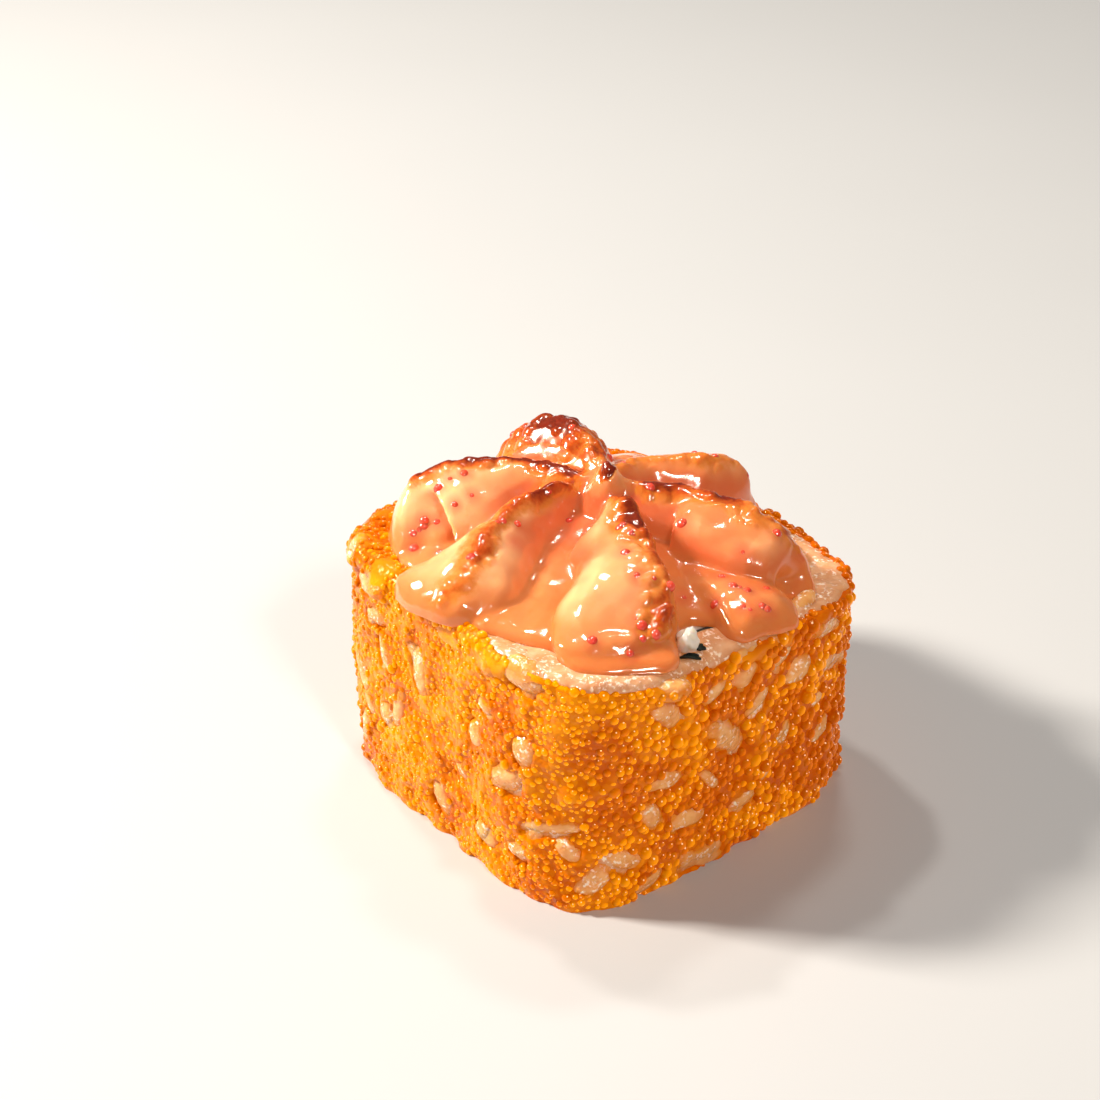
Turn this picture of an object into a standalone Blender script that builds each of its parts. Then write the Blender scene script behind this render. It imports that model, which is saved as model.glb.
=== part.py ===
"""Baked california roll: one square piece of inside-out sushi under a piped rosette of baked sauce.

Four solids, in metres, +Z up, resting on z = 0:
  rice            the square ring of rice, with the grains and roe that show fused on
  nori            the sheet of seaweed inside the rice, running through
  creamy_filling  the white filling inside the nori, running through
  sauce           the piped sauce on top, with red roe fused on
The sides of the square face along X and Y.
"""

import math
import random

import bmesh
import bpy
from mathutils import Matrix, Vector, noise
from mathutils.bvhtree import BVHTree

mm = 0.001

# driving dimensions
rollHalf = 18.3 * mm          # bare rice, centre to the middle of a side
rollHeight = 21.7 * mm        # height of the rice at its centre
cutSlopeX = -0.087            # the top cut falls by this much toward +X
cutSlopeY = -0.018            # and by this much toward +Y
squareness = 4.0              # exponent of the outline: 2 is a circle, more is squarer
frontBulge = 0.9 * mm         # how far the -Y side swells at the top
cornerBulge = 1.1 * mm        # how far the corner between the -X and -Y sides sticks out
sideUneven = 0.45 * mm        # waves of the pressed sides
rimRound = 1.1 * mm
footRound = 0.5 * mm
noriHalf = 14.9 * mm
noriThick = 0.5 * mm
noriSquareness = 3.4
noriShift = -0.7 * mm         # the nori lies off centre, toward -Y
gap = 0.3 * mm                # clearance between neighbouring solids

grainLength = 5.4 * mm
grainWidth = 2.1 * mm
sideGrains = 70
rimGrains = 30
roeSize = 0.92 * mm
sideRoe = 96
redRoeSize = 1.15 * mm
redRoeCount = 44

padHalf = 16.3 * mm           # low pad of sauce between the fins, a rounded square
padSquareness = 3.1
padEdge = 1.5 * mm            # its thickness near the edge
padMiddle = 3.0 * mm          # extra thickness in the middle
padSlope = 13.0 * mm          # radius of that thicker middle
notchAzimuth = 259.0          # where the pad draws back and the filling shows
notchDepth = 3.6 * mm
notchWidth = 8.0              # degrees
peakHeight = 9.8 * mm         # tip in the middle of the rosette, above the rice
peakRadius = 2.6 * mm
finInner = 1.2 * mm           # radius at which the fins start
finDepth = 1.5 * mm           # how far the fins' undersides lie below the cut

# The fins of the rosette. start and end are azimuths of the crest in degrees, from the
# middle outward, and bend says how the turn is spread over the length. reach, crest, ccw
# and cw are millimetres: how far out the foot lies, how high the crest stands over the
# rice, and the half widths on both sides of it; a flank is concave where its full is near
# 1 and a pillow where it is over 2. blunt is high where the crest stays up to the end, and
# drop shapes its fall.
fins = (
    {"start": 54, "end": 80, "bend": 1.5, "reach": 15.8, "crest": 8.4, "blunt": 6.0, "drop": 0.60,
     "ccw": 4.6, "ccwFull": 1.7, "cw": 4.2, "cwFull": 1.7},
    {"start": 108, "end": 124, "bend": 1.0, "reach": 18.4, "crest": 7.2, "blunt": 5.0, "drop": 0.55,
     "ccw": 7.6, "ccwFull": 1.7, "cw": 3.2, "cwFull": 1.4},
    {"start": 126, "end": 178, "bend": 0.5, "reach": 18.2, "crest": 6.0, "blunt": 2.6, "drop": 0.60,
     "ccw": 4.4, "ccwFull": 1.2, "cw": 4.0, "cwFull": 1.2},
    {"start": 272, "end": 240, "bend": 2.2, "reach": 20.2, "crest": 6.3, "blunt": 1.8, "drop": 0.55,
     "ccw": 1.9, "ccwFull": 2.2, "cw": 9.8, "cwFull": 2.6},
    {"start": 296, "end": 278, "bend": 1.0, "reach": 18.8, "crest": 3.2, "blunt": 5.0, "drop": 0.50,
     "ccw": 4.6, "ccwFull": 1.7, "cw": 2.8, "cwFull": 1.7},
    {"start": 321, "end": 294, "bend": 2.0, "reach": 19.3, "crest": 6.7, "blunt": 4.0, "drop": 0.60,
     "ccw": 3.4, "ccwFull": 1.6, "cw": 6.4, "cwFull": 1.15},
    {"start": 25, "end": -12, "bend": 0.5, "reach": 16.8, "crest": 7.2, "blunt": 5.0, "drop": 0.60,
     "ccw": 4.4, "ccwFull": 1.7, "cw": 4.6, "cwFull": 1.7},
    {"start": 42, "end": 32, "bend": 1.0, "reach": 17.4, "crest": 3.6, "blunt": 5.0, "drop": 0.60,
     "ccw": 4.4, "ccwFull": 1.7, "cw": 4.4, "cwFull": 1.7},
)

chance = random.Random(7)


def clearScene():
    """Remove the objects that the file opened with."""
    for thing in list(bpy.data.objects):
        bpy.data.objects.remove(thing, do_unlink=True)


def makeMaterial(name, colour, roughness, metallic=0.0):
    """A Principled material with one plain colour."""
    material = bpy.data.materials.new(name)
    material.use_nodes = True
    shader = material.node_tree.nodes["Principled BSDF"]
    shader.inputs["Base Color"].default_value = (*colour, 1.0)
    shader.inputs["Roughness"].default_value = roughness
    shader.inputs["Metallic"].default_value = metallic
    material.diffuse_color = (*colour, 1.0)
    return material


def addObject(name, mesh, material=None):
    """Link a mesh object to the scene."""
    thing = bpy.data.objects.new(name, mesh)
    bpy.context.scene.collection.objects.link(thing)
    if material:
        mesh.materials.clear()
        mesh.materials.append(material)
    return thing


def topOf(point):
    """Height of the slanting top cut of the rice over a point."""
    return rollHeight + cutSlopeX * point[0] + cutSlopeY * point[1]


def squareRadius(angle, half, power):
    """Radius of a rounded square outline in the direction of angle."""
    across = abs(math.cos(angle)) ** power + abs(math.sin(angle)) ** power
    return half * across ** (-1.0 / power)


def ringMesh(name, sections, closed):
    """Skin a list of point rings; closed joins the last ring to the first, else both get caps."""
    shape = bmesh.new()
    rings = [[shape.verts.new(point) for point in section] for section in sections]
    pairs = list(zip(rings, rings[1:]))
    if closed:
        pairs.append((rings[-1], rings[0]))
    count = len(rings[0])
    for lower, upper in pairs:
        for index in range(count):
            after = (index + 1) % count
            shape.faces.new((lower[index], lower[after], upper[after], upper[index]))
    if not closed:
        shape.faces.new(list(reversed(rings[0])))
        shape.faces.new(rings[-1])
    bmesh.ops.recalc_face_normals(shape, faces=shape.faces)
    mesh = bpy.data.meshes.new(name)
    shape.to_mesh(mesh)
    shape.free()
    return mesh


def sidePoint(angle, share, inset=0.0):
    """Point on the bare side of the rice: share runs from 0 at the base to 1 at the rim."""
    radius = squareRadius(angle, rollHalf, squareness) - inset
    radius += cornerBulge * max(0.0, math.cos(angle - math.radians(225))) ** 8
    x = radius * math.cos(angle)
    y = radius * math.sin(angle)
    z = share * topOf((x, y))
    wave = noise.noise(Vector((x, y, z)) / (7.0 * mm))
    ripple = noise.noise(Vector((x, y, z * 0.6)) / (2.6 * mm))
    swell = sideUneven * (wave + 0.5 * ripple)
    x += swell * math.cos(angle)
    y += swell * math.sin(angle)
    y -= frontBulge * max(0.0, -math.sin(angle)) ** 2 * share
    return Vector((x, y, z))


def sideNormal(angle, share):
    """Outward direction of the side there."""
    step = 0.03
    along = sidePoint(angle + step, share) - sidePoint(angle - step, share)
    return along.cross(Vector((0, 0, 1))).normalized()


def riceCore():
    """The bare ring of rice, from its inner edge up, over the rim, down the side and back."""
    count = 80
    angles = [math.tau * index / count for index in range(count)]
    innerHalf = noriHalf + gap

    def inner(angle, level):
        radius = squareRadius(angle, innerHalf, noriSquareness)
        point = Vector((radius * math.cos(angle), radius * math.sin(angle) + noriShift, 0))
        point.z = level * topOf(point)
        return point

    rows = 9
    footShare = footRound / rollHeight
    rimShare = 1.0 - rimRound / rollHeight
    sections = [[inner(angle, 0) for angle in angles], [inner(angle, 1) for angle in angles]]
    sections.append([sidePoint(angle, 1.0, rimRound) for angle in angles])
    sections.append([sidePoint(angle, 1.0 - 0.3 * (1.0 - rimShare), 0.3 * rimRound) for angle in angles])
    for row in range(rows):
        share = rimShare + (footShare - rimShare) * row / (rows - 1)
        sections.append([sidePoint(angle, share) for angle in angles])
    sections.append([sidePoint(angle, 0.0, footRound) for angle in angles])
    return ringMesh("rice", sections, closed=True)


def grainMesh(name, length, width, sides, rows):
    """A rice grain or an egg: a rounded spindle along X with few sides."""
    shape = bmesh.new()
    bmesh.ops.create_uvsphere(shape, u_segments=sides, v_segments=rows, radius=0.5)
    turn = Matrix.Rotation(math.radians(90), 4, "Y")
    bmesh.ops.transform(shape, matrix=Matrix.Diagonal((length, width, width, 1)) @ turn, verts=shape.verts)
    mesh = bpy.data.meshes.new(name)
    shape.to_mesh(mesh)
    shape.free()
    return mesh


def spread(count, tries, draw, distance):
    """Choose count places, each the farthest from those before it among some tries."""
    chosen = []
    while len(chosen) < count:
        options = [draw() for _ in range(tries)]
        options.sort(key=lambda option: min((distance(option, other) for other in chosen), default=1.0))
        chosen.append(options[-1])
    return chosen


def frameAt(point, outward, spin):
    """Placement whose X lies in the surface, turned by spin, and whose Z points outward."""
    up = Vector((0, 0, 1)) if abs(outward.z) < 0.8 else Vector((0, 1, 0))
    flat = up.cross(outward).normalized()
    rise = outward.cross(flat)
    along = flat * math.cos(spin) + rise * math.sin(spin)
    other = outward.cross(along)
    turn = Matrix((along, other, outward)).transposed().to_4x4()
    return Matrix.Translation(point) @ turn


def sideGap(first, second):
    """Distance on the unrolled side between two (angle, share) places."""
    turn = (first[0] - second[0] + math.pi) % math.tau - math.pi
    return math.hypot(turn * rollHalf * 1.1, (first[1] - second[1]) * rollHeight * 0.75)


def roundGap(first, second):
    """Distance along the rim between two angles."""
    return abs((first[0] - second[0] + math.pi) % math.tau - math.pi) * rollHalf


def isClear(piece, trees):
    """True where no corner of the piece comes within the gap of the given solids."""
    for vertex in piece.data.vertices:
        corner = piece.matrix_world @ vertex.co
        for tree in trees:
            if tree.find_nearest(corner, 1.2 * gap)[0]:
                return False
            _, outward, _, _ = tree.ray_cast(corner, Vector((0, 0, 1)))
            if outward and outward.z > 0:
                return False
    return True


def ricePieces(trees):
    """Grains and roe that show on the sides and along the top edge, clear of the other solids."""
    grain = grainMesh("grain", grainLength, grainWidth, 6, 4)
    egg = grainMesh("egg", roeSize, roeSize, 5, 3)
    pieces = []

    def place(mesh, matrix):
        piece = bpy.data.objects.new(mesh.name, mesh)
        piece.matrix_world = matrix
        if isClear(piece, trees):
            pieces.append(piece)

    lowest = 0.5 * grainLength / rollHeight
    grainPlaces = spread(
        sideGrains, 14,
        lambda: (chance.uniform(0, math.tau), chance.uniform(lowest * 0.62, 1.0 - lowest * 0.62)),
        sideGap)
    for angle, share in grainPlaces:
        outward = sideNormal(angle, share)
        room = min(share, 1.0 - share) * rollHeight
        steep = math.asin(min(1.0, max(0.1, (room - 0.4 * grainWidth) / (0.5 * grainLength))))
        spin = min(steep, math.radians(chance.uniform(35, 90))) * chance.choice((-1, 1))
        point = sidePoint(angle, share) - outward * grainWidth * 0.22
        stretch = Matrix.Diagonal((chance.uniform(0.85, 1.1), chance.uniform(0.9, 1.1), 0.95, 1))
        place(grain, frameAt(point, outward, spin) @ stretch)

    for angle, _ in spread(rimGrains, 10, lambda: (chance.uniform(0, math.tau), 1.0), roundGap):
        edge = sidePoint(angle, 1.0, rimRound)
        outward = Vector((0, 0, 1)) * 0.8 + sideNormal(angle, 1.0) * 0.6
        point = edge - outward.normalized() * grainWidth * 0.3
        spin = math.radians(chance.uniform(-14, 14))
        place(grain, frameAt(point, outward.normalized(), spin) @ Matrix.Diagonal((0.8, 0.9, 0.9, 1)))

    clear = 0.5 * (grainWidth + roeSize)
    eggPlaces = spread(
        sideRoe, 12,
        lambda: (chance.uniform(0, math.tau), chance.uniform(0.04, 0.95)),
        sideGap)
    for angle, share in eggPlaces:
        if min(sideGap((angle, share), other) for other in grainPlaces) < clear:
            continue
        outward = sideNormal(angle, share)
        point = sidePoint(angle, share) + outward * roeSize * 0.12
        place(egg, frameAt(point, outward, chance.uniform(0, math.pi)))
    return pieces


def takeShape(thing):
    """Replace an object's mesh by what its modifiers make of it."""
    bpy.context.view_layer.update()
    graph = bpy.context.evaluated_depsgraph_get()
    result = bpy.data.meshes.new_from_object(thing.evaluated_get(graph))
    thing.modifiers.clear()
    thing.data = result


def largestIsland(mesh):
    """Drop loose scraps and the skins of sealed hollows, then split into triangles."""
    shape = bmesh.new()
    shape.from_mesh(mesh)
    bmesh.ops.dissolve_degenerate(shape, edges=shape.edges, dist=0.002 * mm)
    bmesh.ops.triangulate(shape, faces=shape.faces)
    waiting = set(shape.faces)
    islands = []
    while waiting:
        front = [waiting.pop()]
        island = []
        while front:
            face = front.pop()
            island.append(face)
            for edge in face.edges:
                for other in edge.link_faces:
                    if other in waiting:
                        waiting.remove(other)
                        front.append(other)
        islands.append(island)
    islands.sort(key=len)
    scraps = [face for island in islands[:-1] for face in island]
    bmesh.ops.delete(shape, geom=scraps, context="FACES")
    bmesh.ops.recalc_face_normals(shape, faces=shape.faces)
    shape.to_mesh(mesh)
    shape.free()
    mesh.update()


def fuse(core, pieces):
    """Union the pieces into the core with one Boolean, and remove them."""
    group = bpy.data.collections.new(core.name + "_pieces")
    bpy.context.scene.collection.children.link(group)
    for piece in pieces:
        group.objects.link(piece)
    union = core.modifiers.new("union", "BOOLEAN")
    union.operation = "UNION"
    union.operand_type = "COLLECTION"
    union.collection = group
    union.solver = "EXACT"
    takeShape(core)
    for piece in pieces:
        bpy.data.objects.remove(piece, do_unlink=True)
    bpy.data.collections.remove(group)
    largestIsland(core.data)


def noriMesh():
    """Thin rounded square tube, with a ragged top edge that stays under the sauce."""
    count = 56

    def ring(half, level):
        points = []
        for index in range(count):
            angle = math.tau * index / count
            radius = squareRadius(angle, half, noriSquareness)
            point = Vector((radius * math.cos(angle), radius * math.sin(angle) + noriShift, 0))
            ragged = 0.25 * mm * (noise.noise(point / (1.7 * mm)) - 1.0)
            point.z = level * (topOf(point) + ragged)
            points.append(point)
        return points

    inside = noriHalf - noriThick
    sections = [ring(noriHalf, 0), ring(noriHalf, 1), ring(inside, 1), ring(inside, 0)]
    return ringMesh("nori", sections, closed=True)


def fillingMesh():
    """The white filling: a block inside the nori with a soft uneven top."""
    count = 40
    half = noriHalf - noriThick - gap
    sections = []
    for level, share in ((0, 0.4), (0, 1.0), (1, 1.0), (1, 0.9), (1, 0.5)):
        section = []
        for index in range(count):
            angle = math.tau * index / count
            radius = squareRadius(angle, half, noriSquareness) * share
            point = Vector((radius * math.cos(angle), radius * math.sin(angle) + noriShift, 0))
            dip = 0.0 if share < 1.0 else 0.5 * mm
            point.z = level * (topOf(point) - dip)
            section.append(point)
        sections.append(section)
    return ringMesh("creamy_filling", sections, closed=False)


def crestPoint(fin, share):
    """Place on the rice under the crest, at a share of the way from the middle to the foot."""
    azimuth = math.radians(fin["start"] + (fin["end"] - fin["start"]) * share ** fin["bend"])
    radius = finInner + (fin["reach"] * mm - finInner) * share
    return Vector((radius * math.cos(azimuth), radius * math.sin(azimuth), 0))


def finMesh(fin):
    """One fin: sections across its crest, swept from the middle of the rosette to its foot."""
    steps = 26
    corners = 22
    sections = []
    for step in range(steps + 1):
        share = min(max(step / steps, 0.005), 0.985)
        middle = crestPoint(fin, share)
        ahead = crestPoint(fin, share + 0.01) - crestPoint(fin, share - 0.004)
        side = Vector((-ahead.y, ahead.x, 0)).normalized()
        crest = fin["crest"] * mm * (1.0 - share ** fin["blunt"]) ** fin["drop"]
        swell = 0.34 + 0.66 * math.sin(0.5 * math.pi * min(share / 0.62, 1.0))
        tail = max(0.0, (share - 0.78) / 0.22)
        swell *= math.sqrt(1.0 - tail ** 4)
        section = []
        for corner in range(corners):
            turn = math.tau * corner / corners
            across = math.cos(turn)
            flank = "ccw" if across > 0 else "cw"
            point = middle + side * fin[flank] * mm * swell * across
            height = crest * (1.0 - abs(across) ** fin[flank + "Full"]) ** 0.55
            if math.sin(turn) < 0:
                height = -finDepth
            point.z = topOf(point) + height
            section.append(point)
        sections.append(section)
    return ringMesh("fin", sections, closed=False)


def domeMesh(name, radiusAt, heightAt, steps=14, count=60):
    """A body over the rice: radiusAt gives its edge by angle, heightAt its height by place."""
    depth = 1.5 * mm
    shares = [math.sin(0.5 * math.pi * max(step / steps, 0.01)) for step in range(steps, -1, -1)]
    sections = []
    for share in [shares[-1], 1.0] + shares:
        section = []
        for index in range(count):
            angle = math.tau * index / count
            radius = share * radiusAt(angle)
            point = Vector((radius * math.cos(angle), radius * math.sin(angle), 0))
            height = heightAt(share, radius) if len(sections) > 1 else -depth
            point.z = topOf(point) + height
            section.append(point)
        sections.append(section)
    return ringMesh(name, sections, closed=False)


def padRadius(angle):
    """Edge of the low pad, drawn back at the notch."""
    away = (math.degrees(angle) - notchAzimuth) / notchWidth
    return squareRadius(angle, padHalf, padSquareness) - notchDepth * math.exp(-away * away)


def padProfile(share, radius):
    """Thickness of the pad: rounded at its edge and thicker in the middle."""
    edge = padEdge * math.sqrt(1.0 - share ** 6)
    return edge + padMiddle * max(0.0, 1.0 - radius / padSlope) ** 1.2


def peakProfile(share, _):
    """Height of the small peak in the middle."""
    return peakHeight * (1.0 - 0.55 * share ** 1.3)


def sauceObject(material):
    """The rosette: fins, pad and peak melted into one body, cut flat just above the rice."""
    meshes = [finMesh(fin) for fin in fins]
    meshes.append(domeMesh("pad", padRadius, padProfile))
    meshes.append(domeMesh("peak", lambda angle: peakRadius, peakProfile, steps=8, count=20))
    shape = bmesh.new()
    for mesh in meshes:
        shape.from_mesh(mesh)
        bpy.data.meshes.remove(mesh)
    merged = bpy.data.meshes.new("sauce")
    shape.to_mesh(merged)
    shape.free()
    sauce = addObject("sauce", merged, material)
    melt = sauce.modifiers.new("melt", "REMESH")
    melt.mode = "VOXEL"
    melt.voxel_size = 0.4 * mm
    soften = sauce.modifiers.new("soften", "SMOOTH")
    soften.factor = 0.6
    soften.iterations = 4
    reduce = sauce.modifiers.new("reduce", "DECIMATE")
    reduce.ratio = 0.066
    takeShape(sauce)
    shape = bmesh.new()
    shape.from_mesh(sauce.data)
    base = Vector((0, 0, rollHeight + gap))
    upward = Vector((-cutSlopeX, -cutSlopeY, 1)).normalized()
    cut = bmesh.ops.bisect_plane(
        shape, geom=shape.verts[:] + shape.edges[:] + shape.faces[:],
        plane_co=base, plane_no=upward, clear_inner=True)
    rim = [item for item in cut["geom_cut"] if isinstance(item, bmesh.types.BMEdge)]
    bmesh.ops.edgeloop_fill(shape, edges=rim)
    shape.to_mesh(sauce.data)
    shape.free()
    largestIsland(sauce.data)
    return sauce


def surfaceTree(thing):
    """Search tree over an object's faces."""
    bpy.context.view_layer.update()
    return BVHTree.FromObject(thing, bpy.context.evaluated_depsgraph_get())


def redRoe(sauce):
    """Red roe scattered over the sauce, half sunk in it."""
    tree = surfaceTree(sauce)
    egg = grainMesh("red_egg", redRoeSize, redRoeSize, 5, 3)
    pieces = []

    def draw():
        distance = (padHalf + 1.5 * mm) * math.sqrt(chance.uniform(0.01, 1.0))
        angle = chance.uniform(0, math.tau)
        return distance * math.cos(angle), distance * math.sin(angle)

    for x, y in spread(redRoeCount, 8, draw, lambda a, b: math.hypot(a[0] - b[0], a[1] - b[1])):
        point, outward, _, _ = tree.ray_cast(Vector((x, y, 60 * mm)), Vector((0, 0, -1)))
        if point is None or point.z < topOf(point) + 1.6 * mm:
            continue
        piece = bpy.data.objects.new("red_egg", egg)
        piece.matrix_world = frameAt(point - outward * redRoeSize * 0.1, outward, chance.uniform(0, math.pi))
        pieces.append(piece)
    return pieces


def centre(things):
    """Shift all meshes so that the bottom centre of their common box is the origin."""
    corners = [vertex.co for thing in things for vertex in thing.data.vertices]
    low = Vector([min(corner[axis] for corner in corners) for axis in range(3)])
    high = Vector([max(corner[axis] for corner in corners) for axis in range(3)])
    shift = Vector((-(low.x + high.x) / 2, -(low.y + high.y) / 2, -low.z))
    for thing in things:
        thing.data.transform(Matrix.Translation(shift))


def main():
    clearScene()
    rice = addObject("rice", riceCore(), makeMaterial("rice_and_roe", (0.85, 0.36, 0.07), 0.3))
    nori = addObject("nori", noriMesh(), makeMaterial("nori", (0.012, 0.016, 0.012), 0.6))
    filling = addObject("creamy_filling", fillingMesh(), makeMaterial("filling", (0.85, 0.8, 0.75), 0.5))
    sauce = sauceObject(makeMaterial("sauce", (0.87, 0.5, 0.29), 0.2))
    fuse(sauce, redRoe(sauce))
    fuse(rice, ricePieces((surfaceTree(nori), surfaceTree(sauce))))
    centre((rice, nori, filling, sauce))
    for thing in (rice, nori, filling, sauce):
        print(thing.name, "triangles", sum(len(face.vertices) - 2 for face in thing.data.polygons))


main()
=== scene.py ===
import math
import random

import bmesh
import bpy
import numpy as np
from mathutils import Matrix, Vector, noise
from mathutils.bvhtree import BVHTree
from mathutils.kdtree import KDTree


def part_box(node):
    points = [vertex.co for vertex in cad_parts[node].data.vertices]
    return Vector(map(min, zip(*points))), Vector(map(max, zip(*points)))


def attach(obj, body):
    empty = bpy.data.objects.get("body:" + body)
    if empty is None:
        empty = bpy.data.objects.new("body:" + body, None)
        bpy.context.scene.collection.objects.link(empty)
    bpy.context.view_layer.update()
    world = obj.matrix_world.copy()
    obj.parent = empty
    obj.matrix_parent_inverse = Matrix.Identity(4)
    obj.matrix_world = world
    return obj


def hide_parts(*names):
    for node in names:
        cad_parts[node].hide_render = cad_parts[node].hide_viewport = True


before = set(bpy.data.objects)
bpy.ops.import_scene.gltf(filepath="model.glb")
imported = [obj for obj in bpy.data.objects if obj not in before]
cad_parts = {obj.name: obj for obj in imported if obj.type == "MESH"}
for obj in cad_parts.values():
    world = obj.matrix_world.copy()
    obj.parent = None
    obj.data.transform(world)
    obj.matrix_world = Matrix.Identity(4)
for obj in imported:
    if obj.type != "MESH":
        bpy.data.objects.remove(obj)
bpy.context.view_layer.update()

mm = 0.001
chance = random.Random(3)

# The roll, a square piece with the rice outside, as in the part's source.
roll = {
    "half": 18.3 * mm,         # bare rice, centre to the middle of a side
    "height": 21.7 * mm,       # at the centre
    "slopeX": -0.087,          # fall of the top cut toward +X
    "slopeY": -0.018,
    "squareness": 4.0,
    "frontBulge": 0.9 * mm,
    "cornerBulge": 1.1 * mm,
    "cornerTurn": math.radians(225),
    "uneven": 0.45 * mm,
    "waveSize": 7.0 * mm,
    "rippleSize": 2.6 * mm,
    "rimRound": 1.3 * mm,
    "footRound": 0.5 * mm,
    "noriHalf": 14.9 * mm,
    "noriSquareness": 3.4,
    "noriShift": -0.7 * mm,
}

noriLow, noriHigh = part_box("nori")
noriMiddle = (noriLow + noriHigh) / 2
shift = Vector((noriMiddle.x, noriMiddle.y - roll["noriShift"], 0))   # of the roll's own centre in the frame


class Value:
    # an output socket that takes part in Python expressions
    def __init__(self, paint, socket):
        self.paint = paint
        self.socket = socket

    def __add__(self, other):
        return self.paint.maths("ADD", self, other)

    __radd__ = __add__

    def __mul__(self, other):
        return self.paint.maths("MULTIPLY", self, other)

    __rmul__ = __mul__

    def __sub__(self, other):
        return self.paint.maths("SUBTRACT", self, other)

    def __rsub__(self, other):
        return self.paint.maths("SUBTRACT", other, self)


class Paint:
    # one Principled material: constants go straight to its sockets
    def __init__(self, name, **fixed):
        self.material = bpy.data.materials.new(name)
        self.material.use_nodes = True
        self.tree = self.material.node_tree
        self.shader = self.tree.nodes["Principled BSDF"]
        for key, value in fixed.items():
            self.shader.inputs[key.replace("_", " ")].default_value = value

    def feed(self, socket, value):
        if isinstance(value, Value):
            self.tree.links.new(value.socket, socket)
        elif isinstance(value, tuple) and len(value) == 3 and socket.type == "RGBA":
            socket.default_value = (*value, 1.0)
        else:
            socket.default_value = value

    def node(self, kind, settings=None, inputs=None, out=0):
        made = self.tree.nodes.new("ShaderNode" + kind)
        for key, value in (settings or {}).items():
            setattr(made, key, value)
        for key, value in (inputs or {}).items():
            self.feed(made.inputs[key], value)
        return Value(self, made.outputs[out])

    def maths(self, operation, first, second):
        return self.node("Math", {"operation": operation}, {0: first, 1: second})

    def mask(self, value, low, high):
        # 0 below low, 1 above high and soft between them
        ends = {"From Min": low, "From Max": high}
        return self.node("MapRange", {"interpolation_type": "SMOOTHSTEP"}, {"Value": value, **ends})

    def mix(self, share, first, second):
        return self.node("Mix", {"data_type": "RGBA"}, {0: share, 6: first, 7: second}, 2)

    def noise(self, size, detail=2.0):
        place = self.node("TexCoord", out=3)
        return self.node("TexNoise", {}, {"Vector": place, "Scale": 1.0 / size, "Detail": detail})

    def cells(self, size):
        place = self.node("TexCoord", out=3)
        return self.node("TexVoronoi", {}, {"Vector": place, "Scale": 1.0 / size})

    def attribute(self, name):
        return self.node("Attribute", {"attribute_name": name}, out=2)

    def colour(self, value):
        self.feed(self.shader.inputs["Base Color"], value)

    def rough(self, value):
        self.feed(self.shader.inputs["Roughness"], value)

    def glow(self, value):
        self.feed(self.shader.inputs["Emission Color"], value)

    def bump(self, height, distance, strength=1.0):
        inputs = {"Height": height, "Distance": distance, "Strength": strength}
        self.feed(self.shader.inputs["Normal"], self.node("Bump", {}, inputs))


def makePiece(name, vertices, faces, paint, slot, values=None, replaces=()):
    mesh = bpy.data.meshes.new(name)
    mesh.from_pydata((np.asarray(vertices) + np.array(shift)).tolist(), [], [list(face) for face in faces])
    mesh.shade_smooth()
    for key, numbers in (values or {}).items():
        mesh.attributes.new(key, "FLOAT", "POINT").data.foreach_set("value", np.asarray(numbers, np.float32))
    mesh.materials.append(paint.material)
    piece = bpy.data.objects.new(name, mesh)
    bpy.context.scene.collection.objects.link(piece)
    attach(piece, "root")
    if replaces:
        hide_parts(*replaces)
    print(name, "triangles", sum(len(face.vertices) - 2 for face in mesh.polygons))


def shapeArrays(shape):
    # vertices and triangles; sorted, because Blender may triangulate in another order each time
    bmesh.ops.triangulate(shape, faces=shape.faces)
    vertices = np.array([vertex.co for vertex in shape.verts])
    faces = []
    for face in shape.faces:
        corners = [vertex.index for vertex in face.verts]
        first = corners.index(min(corners))
        faces.append(corners[first:] + corners[:first])
    shape.free()
    return vertices, np.array(sorted(faces))


def joinCopies(shapes, copies):
    # copies are (shape number, matrix); gives vertices, faces and the copy's number at each vertex
    vertices, faces, owners = [], [], []
    start = 0
    for number, (kind, matrix) in enumerate(copies):
        corners, sides = shapes[kind]
        turned = corners @ np.array(matrix.to_3x3()).T + np.array(matrix.translation)
        vertices.append(turned)
        faces.append(sides + start)
        owners.append(np.full(len(corners), number))
        start += len(corners)
    return np.concatenate(vertices), np.concatenate(faces), np.concatenate(owners)


def skin(sections, closed):
    # quads between rings of points with the same count; closed joins the last ring to the first
    rings = [np.array(section) for section in sections]
    count = len(rings[0])
    faces = []
    pairs = len(rings) if closed else len(rings) - 1
    for ring in range(pairs):
        low = ring * count
        high = ((ring + 1) % len(rings)) * count
        for index in range(count):
            after = (index + 1) % count
            faces.append((low + index, low + after, high + after, high + index))
    return np.concatenate(rings), faces


def aboveFloor(vertices):
    vertices[:, 2] = np.maximum(vertices[:, 2], 0.0)
    return vertices


def nearestTree(points):
    tree = KDTree(len(points))
    for number, point in enumerate(points):
        tree.insert(point, number)
    tree.balance()
    return tree


def dropOn(tree, x, y):
    # place and outward direction of a surface straight below a point high above the roll
    point, outward, _, _ = tree.ray_cast(Vector((x, y, 60 * mm)), Vector((0, 0, -1)))
    return point, outward


def smoothStep(value, low, high):
    share = np.clip((value - low) / (high - low), 0.0, 1.0)
    return share * share * (3.0 - 2.0 * share)


def noiseAt(point, size, offset=0.0):
    # lumps of this size, about -1 to 1; each offset gives others
    return noise.noise(Vector(point) / size + Vector((offset, offset, offset)))


def topOf(point):
    return roll["height"] + roll["slopeX"] * point[0] + roll["slopeY"] * point[1]


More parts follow.
